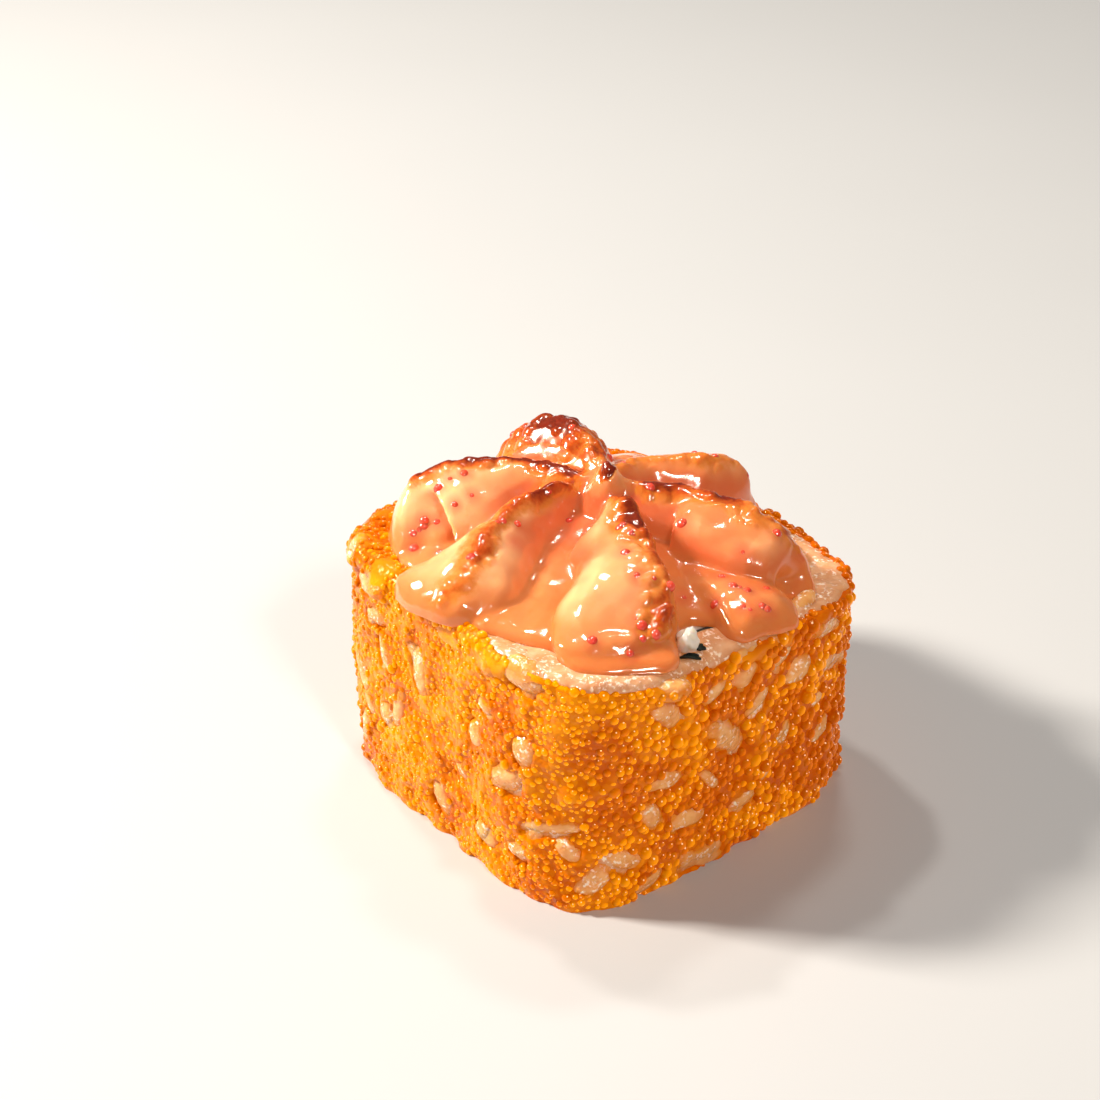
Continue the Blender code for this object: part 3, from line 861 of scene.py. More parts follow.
# The fins of the part's source, fitted closer to the photograph. A line runs along the crest from
# the middle outward; each of its points holds the azimuth in degrees and, in mm, the distance from
# the middle, the height over the rice and the widths of the flanks on the ccw and cw side. full is
# how pillowy a flank is, edge how high it ends as a share of the crest, and under how far it is
# undercut there. facing is the azimuth that all sections face, where they don't turn with the line.
# brown is how dark the crest is baked near the middle and at its end, band how far the browning
# goes down, in mm, and fade the share of the line where it ends, 0.9 where none is given.
fins = {
    "back": {
        "line": ((40, 1.5, 7.5, 2.2, 2.2), (58, 4.2, 8.3, 3.6, 3.2), (64, 6.8, 8.9, 4.6, 4.0),
                 (71, 9.6, 8.9, 5.4, 4.2), (77, 11.4, 8.3, 5.6, 4.0), (82, 13.2, 6.6, 5.2, 3.6),
                 (85, 14.8, 3.6, 4.2, 3.0), (86, 15.8, 0.4, 2.6, 2.0)),
        "full": (1.7, 1.9), "edge": (0.10, 0.10), "under": (0.0, 0.0), "brown": (1.0, 0.85), "band": 7.6},
    "leftBack": {
        "line": ((80, 1.5, 7.0, 2.5, 2.0), (100, 4.5, 7.0, 4.5, 2.4), (112, 8.4, 7.1, 6.5, 2.6),
                 (122, 11.6, 7.0, 7.5, 2.6), (129, 14.2, 6.6, 7.5, 2.4), (134, 16.2, 5.5, 7.4, 2.0),
                 (141, 16.7, 3.8, 7.0, 1.6), (147, 16.9, 2.1, 6.4, 1.2), (151, 17.2, 0.5, 5.0, 0.8)),
        "full": (1.5, 1.5), "edge": (0.15, 0.10), "under": (0.0, 0.0), "brown": (1.3, 1.0), "fade": 0.66,
        "band": 2.4},
    "left": {
        "line": ((120, 1.5, 5.6, 2.0, 1.5), (135, 3.3, 6.9, 1.8, 1.5), (150, 5.2, 6.4, 3.0, 1.9),
                 (160, 7.2, 6.2, 3.6, 2.2), (167, 9.0, 5.9, 4.2, 2.4), (174, 11.2, 5.4, 4.8, 3.0),
                 (180, 13.2, 4.7, 4.8, 4.2), (184, 15.2, 3.9, 4.2, 5.4), (186, 17.0, 3.0, 3.0, 6.6),
                 (185, 18.3, 2.3, 2.2, 6.2), (182.7, 19.2, 1.4, 1.8, 4.4), (180, 19.8, 0.5, 1.4, 2.2)),
        "facing": 186, "full": (1.1, 1.4), "edge": (0.15, 0.42), "under": (0.0, 0.0), "brown": (1.0, 0.75),
        "fade": 0.93, "band": 2.3},
    "leftHollow": {
        "line": ((128, 9.5, 3.2, 2.6, 2.6), (134, 12.0, 3.6, 2.8, 2.8), (140, 13.6, 3.4, 2.8, 2.8),
                 (146, 15.0, 2.4, 2.2, 2.2), (149, 16.2, 0.5, 1.5, 1.5)),
        "full": (2.2, 2.2), "edge": (0.2, 0.2), "under": (0.0, 0.0), "brown": (0.0, 0.0), "band": 1.0},
    "front": {
        "line": ((285, 1.6, 5.4, 1.4, 2.4), (264, 4.0, 7.3, 1.3, 2.6), (256, 6.3, 6.4, 1.6, 5.4),
                 (254.5, 8.8, 6.1, 1.4, 5.6), (252, 12.2, 5.6, 1.1, 7.6), (250.8, 14.6, 4.7, 0.9, 9.2),
                 (248.2, 16.7, 3.4, 0.8, 9.2), (244.5, 17.9, 2.5, 0.8, 8.6), (239.3, 19.1, 1.9, 0.8, 6.5),
                 (234, 19.9, 1.1, 0.6, 3.2)),
        "facing": 238, "full": (2.2, 2.6), "edge": (0.30, 0.38), "under": (0.1, 0.08),
        "brown": (1.0, 0.66), "band": 3.0},
    "frontUnder": {
        "line": ((238, 8.0, 1.0, 2.5, 4.0), (238, 14.0, 1.1, 3.0, 5.5), (238, 18.0, 1.1, 3.6, 6.4),
                 (238, 20.3, 0.7, 3.2, 5.4), (238, 21.3, 0.1, 2.0, 3.5)),
        "full": (2.6, 2.6), "edge": (0.4, 0.4), "under": (0.0, 0.0), "brown": (0.0, 0.0), "band": 1.0},
    "rightUnder": {
        "line": ((290, 6.0, 2.2, 3.0, 2.0), (281, 12.0, 2.6, 4.4, 2.6), (279, 15.8, 2.4, 4.6, 3.2),
                 (277, 18.2, 1.5, 4.0, 3.4), (276, 19.5, 0.1, 2.4, 2.4)),
        "full": (2.0, 2.2), "edge": (0.2, 0.3), "under": (0.0, 0.0), "brown": (0.0, 0.0), "band": 1.0},
    "right": {
        "line": ((330, 2.0, 7.4, 1.8, 2.0), (320, 4.4, 6.9, 2.4, 3.0), (324, 6.9, 6.8, 3.0, 4.4),
                 (317, 9.2, 6.8, 3.2, 5.4), (313, 11.6, 6.6, 3.2, 5.8), (308.5, 13.6, 6.2, 3.0, 5.6),
                 (306.5, 15.3, 5.6, 2.6, 5.0), (305.6, 16.7, 4.7, 2.0, 4.2), (304.6, 17.7, 3.1, 1.5, 3.4),
                 (302.5, 18.3, 1.6, 1.0, 2.6), (298, 18.7, 0.2, 0.8, 1.6)),
        "full": (1.6, 1.5), "edge": (0.10, 0.50), "under": (0.0, 0.12), "brown": (1.4, 0.5), "fade": 0.8,
        "band": 2.4},
    "rightBack": {
        "line": ((30, 2.5, 7.0, 2.2, 2.2), (18, 6.7, 6.8, 3.4, 3.0), (5, 9.2, 6.8, 4.2, 3.4),
                 (357, 11.4, 6.7, 4.4, 3.2), (354, 13.8, 6.3, 4.2, 2.6), (352.8, 15.3, 5.4, 3.6, 1.8),
                 (352.4, 16.0, 3.4, 2.6, 1.2), (352.6, 16.1, 0.8, 1.6, 0.8)),
        "full": (1.7, 1.7), "edge": (0.10, 0.10), "under": (0.0, 0.0), "brown": (0.55, 0.45), "band": 2.0},
    "backLow": {
        "line": ((42, 3.0, 5.0, 3.0, 3.0), (38, 9.0, 4.6, 4.4, 4.4), (34, 14.0, 3.4, 4.4, 4.4),
                 (32, 17.4, 0.2, 2.5, 2.5)),
        "full": (1.7, 1.7), "edge": (0.10, 0.10), "under": (0.0, 0.0), "brown": (0.3, 0.2), "band": 2.0},
}


def between(before, first, second, after, share):
    # Catmull-Rom curve through lists of numbers
    square = share * share
    cube = square * share
    values = []
    for a, b, c, d in zip(before, first, second, after):
        bend = 2 * a - 5 * b + 4 * c - d
        twist = 3 * b - a - 3 * c + d
        values.append(0.5 * (2 * b + (c - a) * share + bend * square + twist * cube))
    return values


def crestLine(fin, steps):
    # even samples of x, y, height, ccw width and cw width along the crest, in metres
    stops = []
    for azimuth, distance, height, ccw, cw in fin["line"]:
        turn = math.radians(azimuth)
        stops.append([value * mm for value in
                      (distance * math.cos(turn), distance * math.sin(turn), height, ccw, cw)])
    stops = [stops[0]] + stops + [stops[-1]]
    line = []
    for step in range(steps + 1):
        place = min(step / steps * (len(stops) - 3), len(stops) - 3 - 1e-6)
        index = int(place)
        line.append(between(*stops[index:index + 4], place - index))
    return line


def finBody(fin, steps=48, corners=34):
    # sections across a fin: its rounded back, its flanks and its underside in the pad
    line = crestLine(fin, steps)
    sections = []
    for step, (x, y, crest, ccw, cw) in enumerate(line):
        after = line[min(step + 1, steps)]
        before = line[max(step - 1, 0)]
        ahead = Vector((after[0] - before[0], after[1] - before[1], 0)).normalized()
        if "facing" in fin:
            turn = math.radians(fin["facing"])
            ahead = Vector((math.cos(turn), math.sin(turn), 0))
        side = Vector((-ahead.y, ahead.x, 0))
        profile = []
        for corner in range(corners + 1):
            across = math.cos(math.pi * corner / corners)
            flank = 0 if across > 0 else 1
            edge = fin["edge"][flank] * crest
            height = edge + (crest - edge) * (1.0 - abs(across) ** fin["full"][flank]) ** 0.6
            profile.append((across, height))
        for flank, across in ((1, -1.0), (0, 1.0)):
            inner = across * (1.0 - fin["under"][flank])
            low = [(across, 0.5 * fin["edge"][flank] * crest), (inner, 0.0), (inner, -sauce["finDepth"])]
            if flank == 0:
                low.reverse()
            profile += low
        section = []
        for across, height in profile:
            width = ccw if across > 0 else cw
            point = Vector((x, y, 0)) + side * max(width, sauce["finLeast"]) * across
            point.z = topOf(point) + height
            section.append(point)
        sections.append(section)
    return sections


def domeBody(radiusAt, heightAt, middle=Vector((0, 0, 0)), steps=20, count=90):
    # sections of the pad or the peak, from the underside in the rice up to the middle of the top
    shares = [math.sin(0.5 * math.pi * max(step / steps, 0.01)) for step in range(steps, -1, -1)]
    sections = []
    for share in [shares[-1], 1.0] + shares:
        section = []
        for index in range(count):
            angle = math.tau * index / count
            radius = share * radiusAt(angle)
            point = middle + Vector((radius * math.cos(angle), radius * math.sin(angle), 0))
            height = heightAt(share, radius) if len(sections) > 1 else -sauce["finDepth"]
            point.z = topOf(point) + height
            section.append(point)
        sections.append(section)
    return sections


def padRadius(angle):
    # outline of the low pad of sauce under the fins
    notch = (math.degrees(angle) - sauce["notchTurn"]) / sauce["notchWidth"]
    swell = (math.degrees(angle) - sauce["swellTurn"]) / sauce["swellWidth"]
    radius = squareRadius(angle, sauce["padHalf"], sauce["padSquareness"])
    radius -= sauce["notchDepth"] * math.exp(-notch * notch)
    return radius + sauce["swellDepth"] * math.exp(-swell * swell)


def padProfile(share, radius):
    # height over the rice: a round edge and a soft rise toward the middle
    edge = sauce["padEdge"] * math.sqrt(1.0 - share ** 6)
    return edge + sauce["padMiddle"] * max(0.0, 1.0 - radius / sauce["padSlope"]) ** 1.2


def peakProfile(share, _):
    return sauce["peakHeight"] * (1.0 - 0.5 * share ** 1.6)


def closedBody(shape, sections):
    # adds a solid through the sections, capped at both ends
    rings = [[shape.verts.new(point) for point in section] for section in sections]
    count = len(rings[0])
    faces = []
    for lower, upper in zip(rings, rings[1:]):
        for index in range(count):
            after = (index + 1) % count
            faces.append(shape.faces.new((lower[index], lower[after], upper[after], upper[index])))
    faces.append(shape.faces.new(list(reversed(rings[0]))))
    faces.append(shape.faces.new(rings[-1]))
    bmesh.ops.recalc_face_normals(shape, faces=faces)


def keepLargest(shape):
    # drops the loose scraps that the cut may leave
    waiting = set(shape.faces)
    islands = []
    while waiting:
        front = [waiting.pop()]
        island = []
        while front:
            face = front.pop()
            island.append(face)
            for edge in face.edges:
                for other in edge.link_faces:
                    if other in waiting:
                        waiting.remove(other)
                        front.append(other)
        islands.append(island)
    islands.sort(key=len)
    scraps = [face for island in islands[:-1] for face in island]
    bmesh.ops.delete(shape, geom=scraps, context="FACES")


def meltTogether(shape, voxel, soften):
    # one closed skin over all the bodies, smoothed
    mesh = bpy.data.meshes.new("melt")
    shape.to_mesh(mesh)
    shape.free()
    thing = bpy.data.objects.new("melt", mesh)
    bpy.context.scene.collection.objects.link(thing)
    melt = thing.modifiers.new("melt", "REMESH")
    melt.mode = "VOXEL"
    melt.voxel_size = voxel
    smooth = thing.modifiers.new("smooth", "SMOOTH")
    smooth.factor = 0.6
    smooth.iterations = soften
    bpy.context.view_layer.update()
    result = bpy.data.meshes.new_from_object(thing.evaluated_get(bpy.context.evaluated_depsgraph_get()))
    melted = bmesh.new()
    melted.from_mesh(result)
    bpy.data.objects.remove(thing, do_unlink=True)
    bpy.data.meshes.remove(mesh)
    bpy.data.meshes.remove(result)
    return melted


def sauceShape():
    # the fins, the pad and the peak in one, cut off just under the top of the rice
    shape = bmesh.new()
    for fin in fins.values():
        closedBody(shape, finBody(fin))
    closedBody(shape, domeBody(padRadius, padProfile))
    peak = Vector((*sauce["peakPlace"], 0))
    closedBody(shape, domeBody(lambda angle: sauce["peakRadius"], peakProfile, peak, steps=10, count=40))
    melted = meltTogether(shape, sauce["voxel"], sauce["soften"])
    base = Vector((0, 0, roll["height"] - sauce["sunk"]))
    upward = Vector((-roll["slopeX"], -roll["slopeY"], 1)).normalized()
    cut = bmesh.ops.bisect_plane(
        melted, geom=melted.verts[:] + melted.edges[:] + melted.faces[:],
        plane_co=base, plane_no=upward, clear_inner=True)
    rim = [item for item in cut["geom_cut"] if isinstance(item, bmesh.types.BMEdge)]
    bmesh.ops.edgeloop_fill(melted, edges=rim)
    keepLargest(melted)
    bmesh.ops.recalc_face_normals(melted, faces=melted.faces)
    return melted


def gatherCrests(steps=60):
    # points along all crests, how dark each is baked and how far down the browning goes there
    points, browns, bands = [], [], []
    for fin in fins.values():
        inner, outer = fin["brown"]
        fade = fin.get("fade", 0.9)
        for step, (x, y, height, _, _) in enumerate(crestLine(fin, steps)):
            point = Vector((x, y, 0))
            point.z = topOf(point) + height
            fromPeak = math.hypot(x - sauce["peakPlace"][0], y - sauce["peakPlace"][1])
            share = step / steps
            fading = smoothStep(fromPeak, 1.8 * mm, 3.4 * mm)
            fading *= 1.0 - smoothStep(share, fade - 0.12, fade + 0.08)
            points.append(point)
            browns.append(float((inner + (outer - inner) * share) * fading))
            bands.append(fin["band"] * mm)
    top = Vector((*sauce["peakPlace"], 0))
    top.z = topOf(top) + sauce["peakHeight"]
    return points + [top], browns + [sauce["peakBrown"]], bands + [sauce["peakBand"]]


def bakeAt(point):
    # how strongly the heat has browned a place, on the crests and fading down the flanks,
    # and how thick the blistered skin is there
    _, number, distance = crestTree.find(point)
    band = crestBands[number]
    width = band * (1.0 + 0.55 * noiseAt(point, 2.6 * mm, 1.0))
    near = max(0.0, 1.0 - distance / max(width, 0.4 * mm))
    uneven = 0.85 + 0.5 * noiseAt(point, 3.4 * mm, 14.0)
    return max(0.0, crestBrowns[number] * near * uneven), min(1.0, band / (3 * mm))


def dressSauce(shape):
    # blistered skin along the crests and a soft unevenness elsewhere
    shape.normal_update()
    browns = []
    for vertex in shape.verts:
        point = vertex.co.copy()
        brown, thick = bakeAt(point)
        away = noise.voronoi(point / sauce["blisterSize"])[0][0] * (1.0 + noiseAt(point, 2.0 * mm, 21.0))
        blister = max(0.0, 1.0 - (away / 0.50) ** 2) ** 0.5
        crease = abs(noiseAt(point, 1.8 * mm, 6.0))
        raised = 0.7 * blister + 1.1 * crease - 0.45
        height = sauce["blister"] * thick * smoothStep(brown, 0.03, 0.4) * raised
        height += sauce["uneven"] * noiseAt(point, 2.8 * mm, 9.0)
        height += sauce["fineUneven"] * noiseAt(point, 1.3 * mm, 19.0)
        vertex.co = point + vertex.normal * height
        browns.append(brown)
    return browns


crestPoints, crestBrowns, crestBands = gatherCrests()
crestTree = nearestTree(crestPoints)
sauceBody = sauceShape()
sauceBrowns = dressSauce(sauceBody)
sauceBody.verts.index_update()
bmesh.ops.triangulate(sauceBody, faces=[face for face in sauceBody.faces if len(face.verts) > 4])
sauceVertices = np.array([vertex.co for vertex in sauceBody.verts])
sauceFaces = [[vertex.index for vertex in face.verts] for face in sauceBody.faces]
sauceTree = BVHTree.FromBMesh(sauceBody)
sauceBody.free()
print("sauce melted", len(sauceVertices))


def sauceTones():
    # how hollow the sauce is around each vertex, which darkens the hollows with painted shade, how pale it
    # is painted, as painted light most on the left and on swellings, and how thin, which tints the low parts
    # partly as painted shade
    hollows, creamsAndPaintedLight, thinsAndPaintedShade = [], [], []
    distance = sauce["around"]
    most = 3 * mm
    turns = [math.tau * index / 6 for index in range(6)]
    for vertex in sauceVertices:
        point = Vector(vertex)
        around = above = 0.0
        for turn in turns:
            x = point.x + distance * math.cos(turn)
            y = point.y + distance * math.sin(turn)
            hit, _ = dropOn(sauceTree, x, y)
            level = topOf(point) if hit is None else hit.z
            around += min(max(level - point.z, -most), most) / mm / len(turns)
            above += min(max(level - point.z, 0), most) / mm / len(turns)
        angle = math.atan2(point.y, point.x)
        outside = smoothStep(point.xy.length, 3 * mm, 12 * mm)
        left = outside * (0.5 + 0.5 * math.cos(angle - sauce["paintedLightSauceTurn"]))
        lit = outside * (0.5 + 0.5 * math.cos(angle - sauce["litTurn"]))
        hollows.append(float(smoothStep(above, 0.08, 0.70) * (1.0 - 0.8 * lit ** 4)))
        creamsAndPaintedLight.append(float(0.65 * left + (0.35 + 0.65 * left) * smoothStep(-around, 0.2, 1.6)))
        thinsAndPaintedShade.append(float(1.0 - smoothStep(point.z - topOf(point), 1.2 * mm, 4.0 * mm)))
    return {"hollow": hollows, "creamAndPaintedLight": creamsAndPaintedLight, "thinAndPaintedShade": thinsAndPaintedShade}


redRoe = {
    "size": (0.82 * mm, 1.14 * mm),
    "clustered": 54,           # on the crests
    "strewn": 26,
    "sunk": (0.22, 0.50),      # how deep the middle of an egg lies, as a share of its size
    "blush": 1.3 * mm,         # how far it colours the sauce
    "colours": ((0.75, 0.045, 0.03), (0.85, 0.11, 0.04)),
}


def redCopies():
    copies = []
    while len(copies) < redRoe["clustered"] + redRoe["strewn"]:
        if len(copies) < redRoe["clustered"]:
            x, y, _ = crestPoints[int(chance.triangular(0, len(crestPoints) - 1))]
            x += chance.gauss(0, 1.0) * mm
            y += chance.gauss(0, 1.0) * mm
        else:
            distance = (sauce["padHalf"] + 1.5 * mm) * math.sqrt(chance.uniform(0.02, 1.0))
            angle = chance.uniform(0, math.tau)
            x, y = distance * math.cos(angle), distance * math.sin(angle)
        point, outward = dropOn(sauceTree, x, y)
        if point is None or point.z < topOf(point) + 1.0 * mm:
            continue
        size = chance.uniform(*redRoe["size"])
        depth = chance.uniform(*redRoe["sunk"])
        matrix = Matrix.Translation(point - outward * size * depth)
        copies.append((0, matrix @ Matrix.Diagonal((size, size * 0.95, size, 1.0))))
    return copies


redMatrices = redCopies()
redVertices, redFaces, _ = joinCopies([eggShape(3)], redMatrices)
redTree = nearestTree([matrix.translation for _, matrix in redMatrices])
blushes = [max(0.0, 1.0 - redTree.find(point)[2] / redRoe["blush"]) for point in sauceVertices]
print("red roe laid", len(redMatrices))


# What lies in the notch of the sauce: the photograph's pixel, then length, width and, for the
# filling, height.
bits = {
    "filling": (688, 649, 1.9 * mm, 1.6 * mm, 2.4 * mm),
    "fillingLift": 0.35,       # its middle over the rice, as a share of its height
    "nori": ((697, 650, 1.2 * mm, 0.6 * mm), (690, 659, 1.5 * mm, 0.5 * mm)),
    "noriLevels": (0.10 * mm, 0.34 * mm),   # underside and top of a flake, over the rice
    "noriRagged": 0.55,
    "noriWave": 0.12 * mm,
    "noriCorners": 22,
    "fillingColours": ((0.80, 0.64, 0.50), (0.88, 0.78, 0.66)),
    "noriColours": ((0.004, 0.006, 0.004), (0.02, 0.028, 0.016)),
}


def fillingBit():
    x, y, length, width, height = bits["filling"]
    point, _, _, _ = surfaceTree.ray_cast(*photoRay(x, y))
    vertices, faces = eggShape(4)
    lumps = []
    for vertex in vertices:
        coarse = noise.noise(Vector(vertex) * 3.0)
        fine = noise.noise(Vector(vertex) * 9.0)
        lumps.append(1.0 + 0.30 * coarse + 0.10 * fine)
    vertices = vertices * np.array(lumps)[:, None] * np.array((length, width, height))
    return vertices + np.array(point) + np.array((0, 0, bits["fillingLift"] * height)), faces


def noriBits():
    # ragged flakes that lie on the rice
    vertices, faces = [], []
    count = bits["noriCorners"]
    for x, y, length, width in bits["nori"]:
        point, _, _, _ = surfaceTree.ray_cast(*photoRay(x, y))
        aside = Matrix.Rotation(chance.uniform(0, math.pi), 3, "Z")
        low = len(vertices)
        high = low + count
        for level in bits["noriLevels"]:
            for index in range(count):
                angle = math.tau * index / count
                around = Vector((math.cos(angle), math.sin(angle), 0))
                ragged = noise.noise(around * 2.2 + Vector((0, 0, x)))
                radius = 0.5 * (1.0 + bits["noriRagged"] * ragged)
                place = point + aside @ Vector((around.x * length * radius, around.y * width * radius, 0))
                place.z += level + bits["noriWave"] * math.sin(angle * 2 + x)
                vertices.append(tuple(place))
        for index in range(count):
            after = (index + 1) % count
            faces.append((low + index, low + after, high + after, high + index))
        faces.append(list(reversed(range(low, high))))
        faces.append(list(range(high, high + count)))
    return np.array(vertices), faces


# The colours of the baked sauce, from the palest to the darkest, and the light inside it. The palest is laid
# where painted light falls, the valley colour is painted shade in the hollows, and thin is partly painted
# shade on the low parts.
sauceColours = {
    "creamAndPaintedLight": (0.87, 0.53, 0.26),
    "peach": (0.60, 0.205, 0.072),
    "paintedValleyShade": (0.50, 0.09, 0.035),
    "thinAndPaintedShade": (0.54, 0.15, 0.03),
    "blush": (0.52, 0.05, 0.03),
    "golden": (0.56, 0.16, 0.012),
    "rusty": (0.45, 0.07, 0.004),
    "burnt": (0.15, 0.012, 0.002),
    "glow": (1.0, 0.27, 0.06),
    "bakedGlow": (0.3, 0.02, 0.0),
}


def saucePaint():
    colours = sauceColours
    paint = Paint(
        "bakedSauce", Subsurface_Weight=1.0, Subsurface_Radius=(1.0, 0.5, 0.3), Subsurface_Scale=1.1 * mm,
        IOR=1.45, Specular_IOR_Level=0.8, Specular_Tint=(1.0, 0.90, 0.80, 1.0), Coat_Weight=0.25,
        Coat_Roughness=0.02, Emission_Strength=0.17)
    soft = (paint.noise(6 * mm) - 0.5) * 0.5
    # paler toward the left and on swellings: painted light, with a little random spread
    creamy = paint.mask(paint.attribute("creamAndPaintedLight") + soft, 0.1, 0.9)
    colour = paint.mix(creamy, colours["peach"], colours["creamAndPaintedLight"])
    hollow = paint.attribute("hollow")
    # painted shade: the hollows darken toward the deep red valley colour
    colour = paint.mix(hollow * 0.9, colour, colours["paintedValleyShade"])
    # the low parts, where the sauce is thin, are tinted deeper orange: partly the roe showing through,
    # partly painted shade under the fins
    colour = paint.mix(paint.attribute("thinAndPaintedShade") * 0.8, colour, colours["thinAndPaintedShade"])
    colour = paint.mix(paint.attribute("blush") * 0.75, colour, colours["blush"])
    brown = paint.attribute("brown")
    mottled = brown + (paint.noise(0.7 * mm, 3.0) - 0.5) * 0.45 * paint.mask(brown, 0.0, 0.3)
    colour = paint.mix(paint.mask(mottled, 0.06, 0.44) * 0.9, colour, colours["golden"])
    colour = paint.mix(paint.mask(mottled, 0.42, 0.68), colour, colours["rusty"])
    paint.colour(paint.mix(paint.mask(mottled, 0.62, 0.90), colour, colours["burnt"]))
    paint.glow(paint.mix(paint.mask(mottled, 0.1, 0.7), colours["glow"], colours["bakedGlow"]))
    matt = paint.mask(brown, 0.06, 0.5) * paint.noise(0.6 * mm)
    paint.rough(0.06 + 0.22 * matt + 0.10 * hollow)
    paint.bump(paint.noise(0.35 * mm), 0.05 * mm, 0.25)
    return paint


# The two halves of the roe: the body colour of the palest and the deepest eggs, and the light
# inside them, dim and bright.
roeColours = {
    "roeGold": {"pale": (0.56, 0.19, 0.0), "deep": (0.52, 0.14, 0.0),
                "dim": (0.16, 0.030, 0.0), "bright": (0.62, 0.20, 0.0)},
    "roeAmber": {"pale": (0.47, 0.115, 0.0), "deep": (0.40, 0.07, 0.0),
                 "dim": (0.11, 0.014, 0.0), "bright": (0.46, 0.10, 0.0)},
    # rim is painted shade at the edge of each egg, and glint a painted highlight carried by the emission
    "rim": (0.36, 0.06, 0.0),
    "gathered": (1.0, 0.50, 0.02),     # where the light gathers in an egg
    "glint": (1.0, 0.80, 0.45),
    "tint": (1.0, 0.52, 0.14, 1.0),    # of the reflections on the eggs and their glaze
}


def roePaint(name):
    # the emission stands for the light that goes through the eggs and gathers on their far side; it also
    # carries a painted glint, and it and the colour darken toward each egg's rim as painted shade
    own = roeColours[name]
    paint = Paint(
        name, Subsurface_Weight=0.3, Subsurface_Radius=(1.0, 0.6, 0.3), Subsurface_Scale=0.25 * mm,
        IOR=1.45, Roughness=0.07, Specular_IOR_Level=0.45, Specular_Tint=roeColours["tint"],
        Emission_Strength=1.0)
    # painted shade: the colour and the light inside darken toward each egg's rim
    edge = paint.mask(paint.attribute("pole"), 0.50, 0.05)
    spot = paint.attribute("spot")
    body = paint.mix(paint.attribute("tone"), own["pale"], own["deep"])
    paint.colour(paint.mix(edge * 0.4, body, roeColours["rim"]))
    light = paint.mix(paint.mask(spot, -0.2, 0.85), own["dim"], own["bright"])
    light = paint.mix(edge * 0.35, light, own["dim"])
    light = paint.mix(paint.mask(spot, 0.84, 0.97) * 0.8, light, roeColours["gathered"])
    # a painted glint, white in the emission
    glint = paint.mask(paint.attribute("glint"), 0.94, 0.985)
    paint.glow(paint.mix(glint, light, roeColours["glint"]))
    return paint


# dim and pale are bare rice; the glaze stains both pieces alike.
riceColours = {
    "riceBed": {"dim": (0.58, 0.25, 0.11), "pale": (0.70, 0.38, 0.21), "relief": 0.10 * mm},
    "riceGrains": {"dim": (0.68, 0.26, 0.05), "pale": (0.80, 0.41, 0.14), "relief": 0.14 * mm},
    "paintedSpeckle": (0.98, 0.84, 0.70),
    "glazed": ((0.64, 0.18, 0.002), (0.72, 0.27, 0.012)),
    # glow and glazedGlow are painted light: an emission for the light inside the rice, bare and under the
    # glaze
    "glow": (0.9, 0.36, 0.10),
    "glazedGlow": (0.9, 0.15, 0.0),
}


def ricePaint(name):
    own = riceColours[name]
    paint = Paint(
        name, Subsurface_Weight=0.8, Subsurface_Radius=(1.0, 0.7, 0.5), Subsurface_Scale=0.8 * mm,
        IOR=1.42, Specular_IOR_Level=0.8, Emission_Strength=0.12)
    plain = paint.mix(paint.mask(paint.noise(1.6 * mm), 0.3, 0.7), own["dim"], own["pale"])
    # painted speckled highlights: whitish specks in the colour where the wet grains catch the light
    paintedSpeckle = paint.mask(paint.noise(0.36 * mm, 3.0), 0.52, 0.64)
    paintedSpeckle = paintedSpeckle * paint.mask(paint.noise(1.3 * mm), 0.42, 0.56)
    plain = paint.mix(paintedSpeckle * 0.85, plain, riceColours["paintedSpeckle"])
    glazed = paint.mix(paint.noise(1.8 * mm), *riceColours["glazed"])
    stain = paint.attribute("stain") + (paint.noise(2.2 * mm) - 0.5) * 1.1
    stained = paint.mask(stain + (paint.noise(0.7 * mm) - 0.5) * 0.4, 0.15, 0.85)
    paint.colour(paint.mix(stained, plain, glazed))
    paint.glow(paint.mix(stained, riceColours["glow"], riceColours["glazedGlow"]))
    paint.rough(0.06 + 0.16 * paint.noise(0.6 * mm))
    sparkle = paint.noise(0.18 * mm) * paint.mask(paint.noise(1.3 * mm), 0.48, 0.62)
    paint.bump(sparkle + paint.noise(0.8 * mm) * 1.2, own["relief"])
    return paint


# Each pair runs from the yellow to the deep tone.
glazeColours = {
    "body": ((0.60, 0.20, 0.0), (0.44, 0.075, 0.0)),
    "overGrain": ((0.76, 0.30, 0.01), (0.62, 0.17, 0.004)),
    # glow is painted light: an emission for the light inside the glaze
    "glow": ((0.30, 0.075, 0.0), (0.17, 0.022, 0.0)),
}


def glazePaint():
    paint = Paint(
        "roeGlaze", Subsurface_Weight=0.4, Subsurface_Radius=(1.0, 0.6, 0.3), Subsurface_Scale=0.25 * mm,
        IOR=1.42, Specular_IOR_Level=0.35, Specular_Tint=roeColours["tint"], Emission_Strength=1.0)
    near = paint.attribute("grain")
    outline = paint.mask(paint.cells(0.9 * mm), 0.34, 0.52) * (1 - near)
    shade = paint.attribute("tone") + (paint.noise(1.6 * mm) - 0.5) * 0.6 + outline * 0.35
    body = paint.mix(shade, *glazeColours["body"])
    overGrain = paint.mix(shade, *glazeColours["overGrain"])
    paint.colour(paint.mix(near * 0.7, body, overGrain))
    paint.glow(paint.mix(shade, *glazeColours["glow"]))
    paint.rough(0.05 + 0.15 * paint.noise(0.7 * mm))
    cells = 1 - paint.cells(0.85 * mm) * 1.4
    paint.bump(cells * (1 - near * 0.9) + paint.noise(0.5 * mm) * 0.4, 0.20 * mm, 0.7)
    return paint


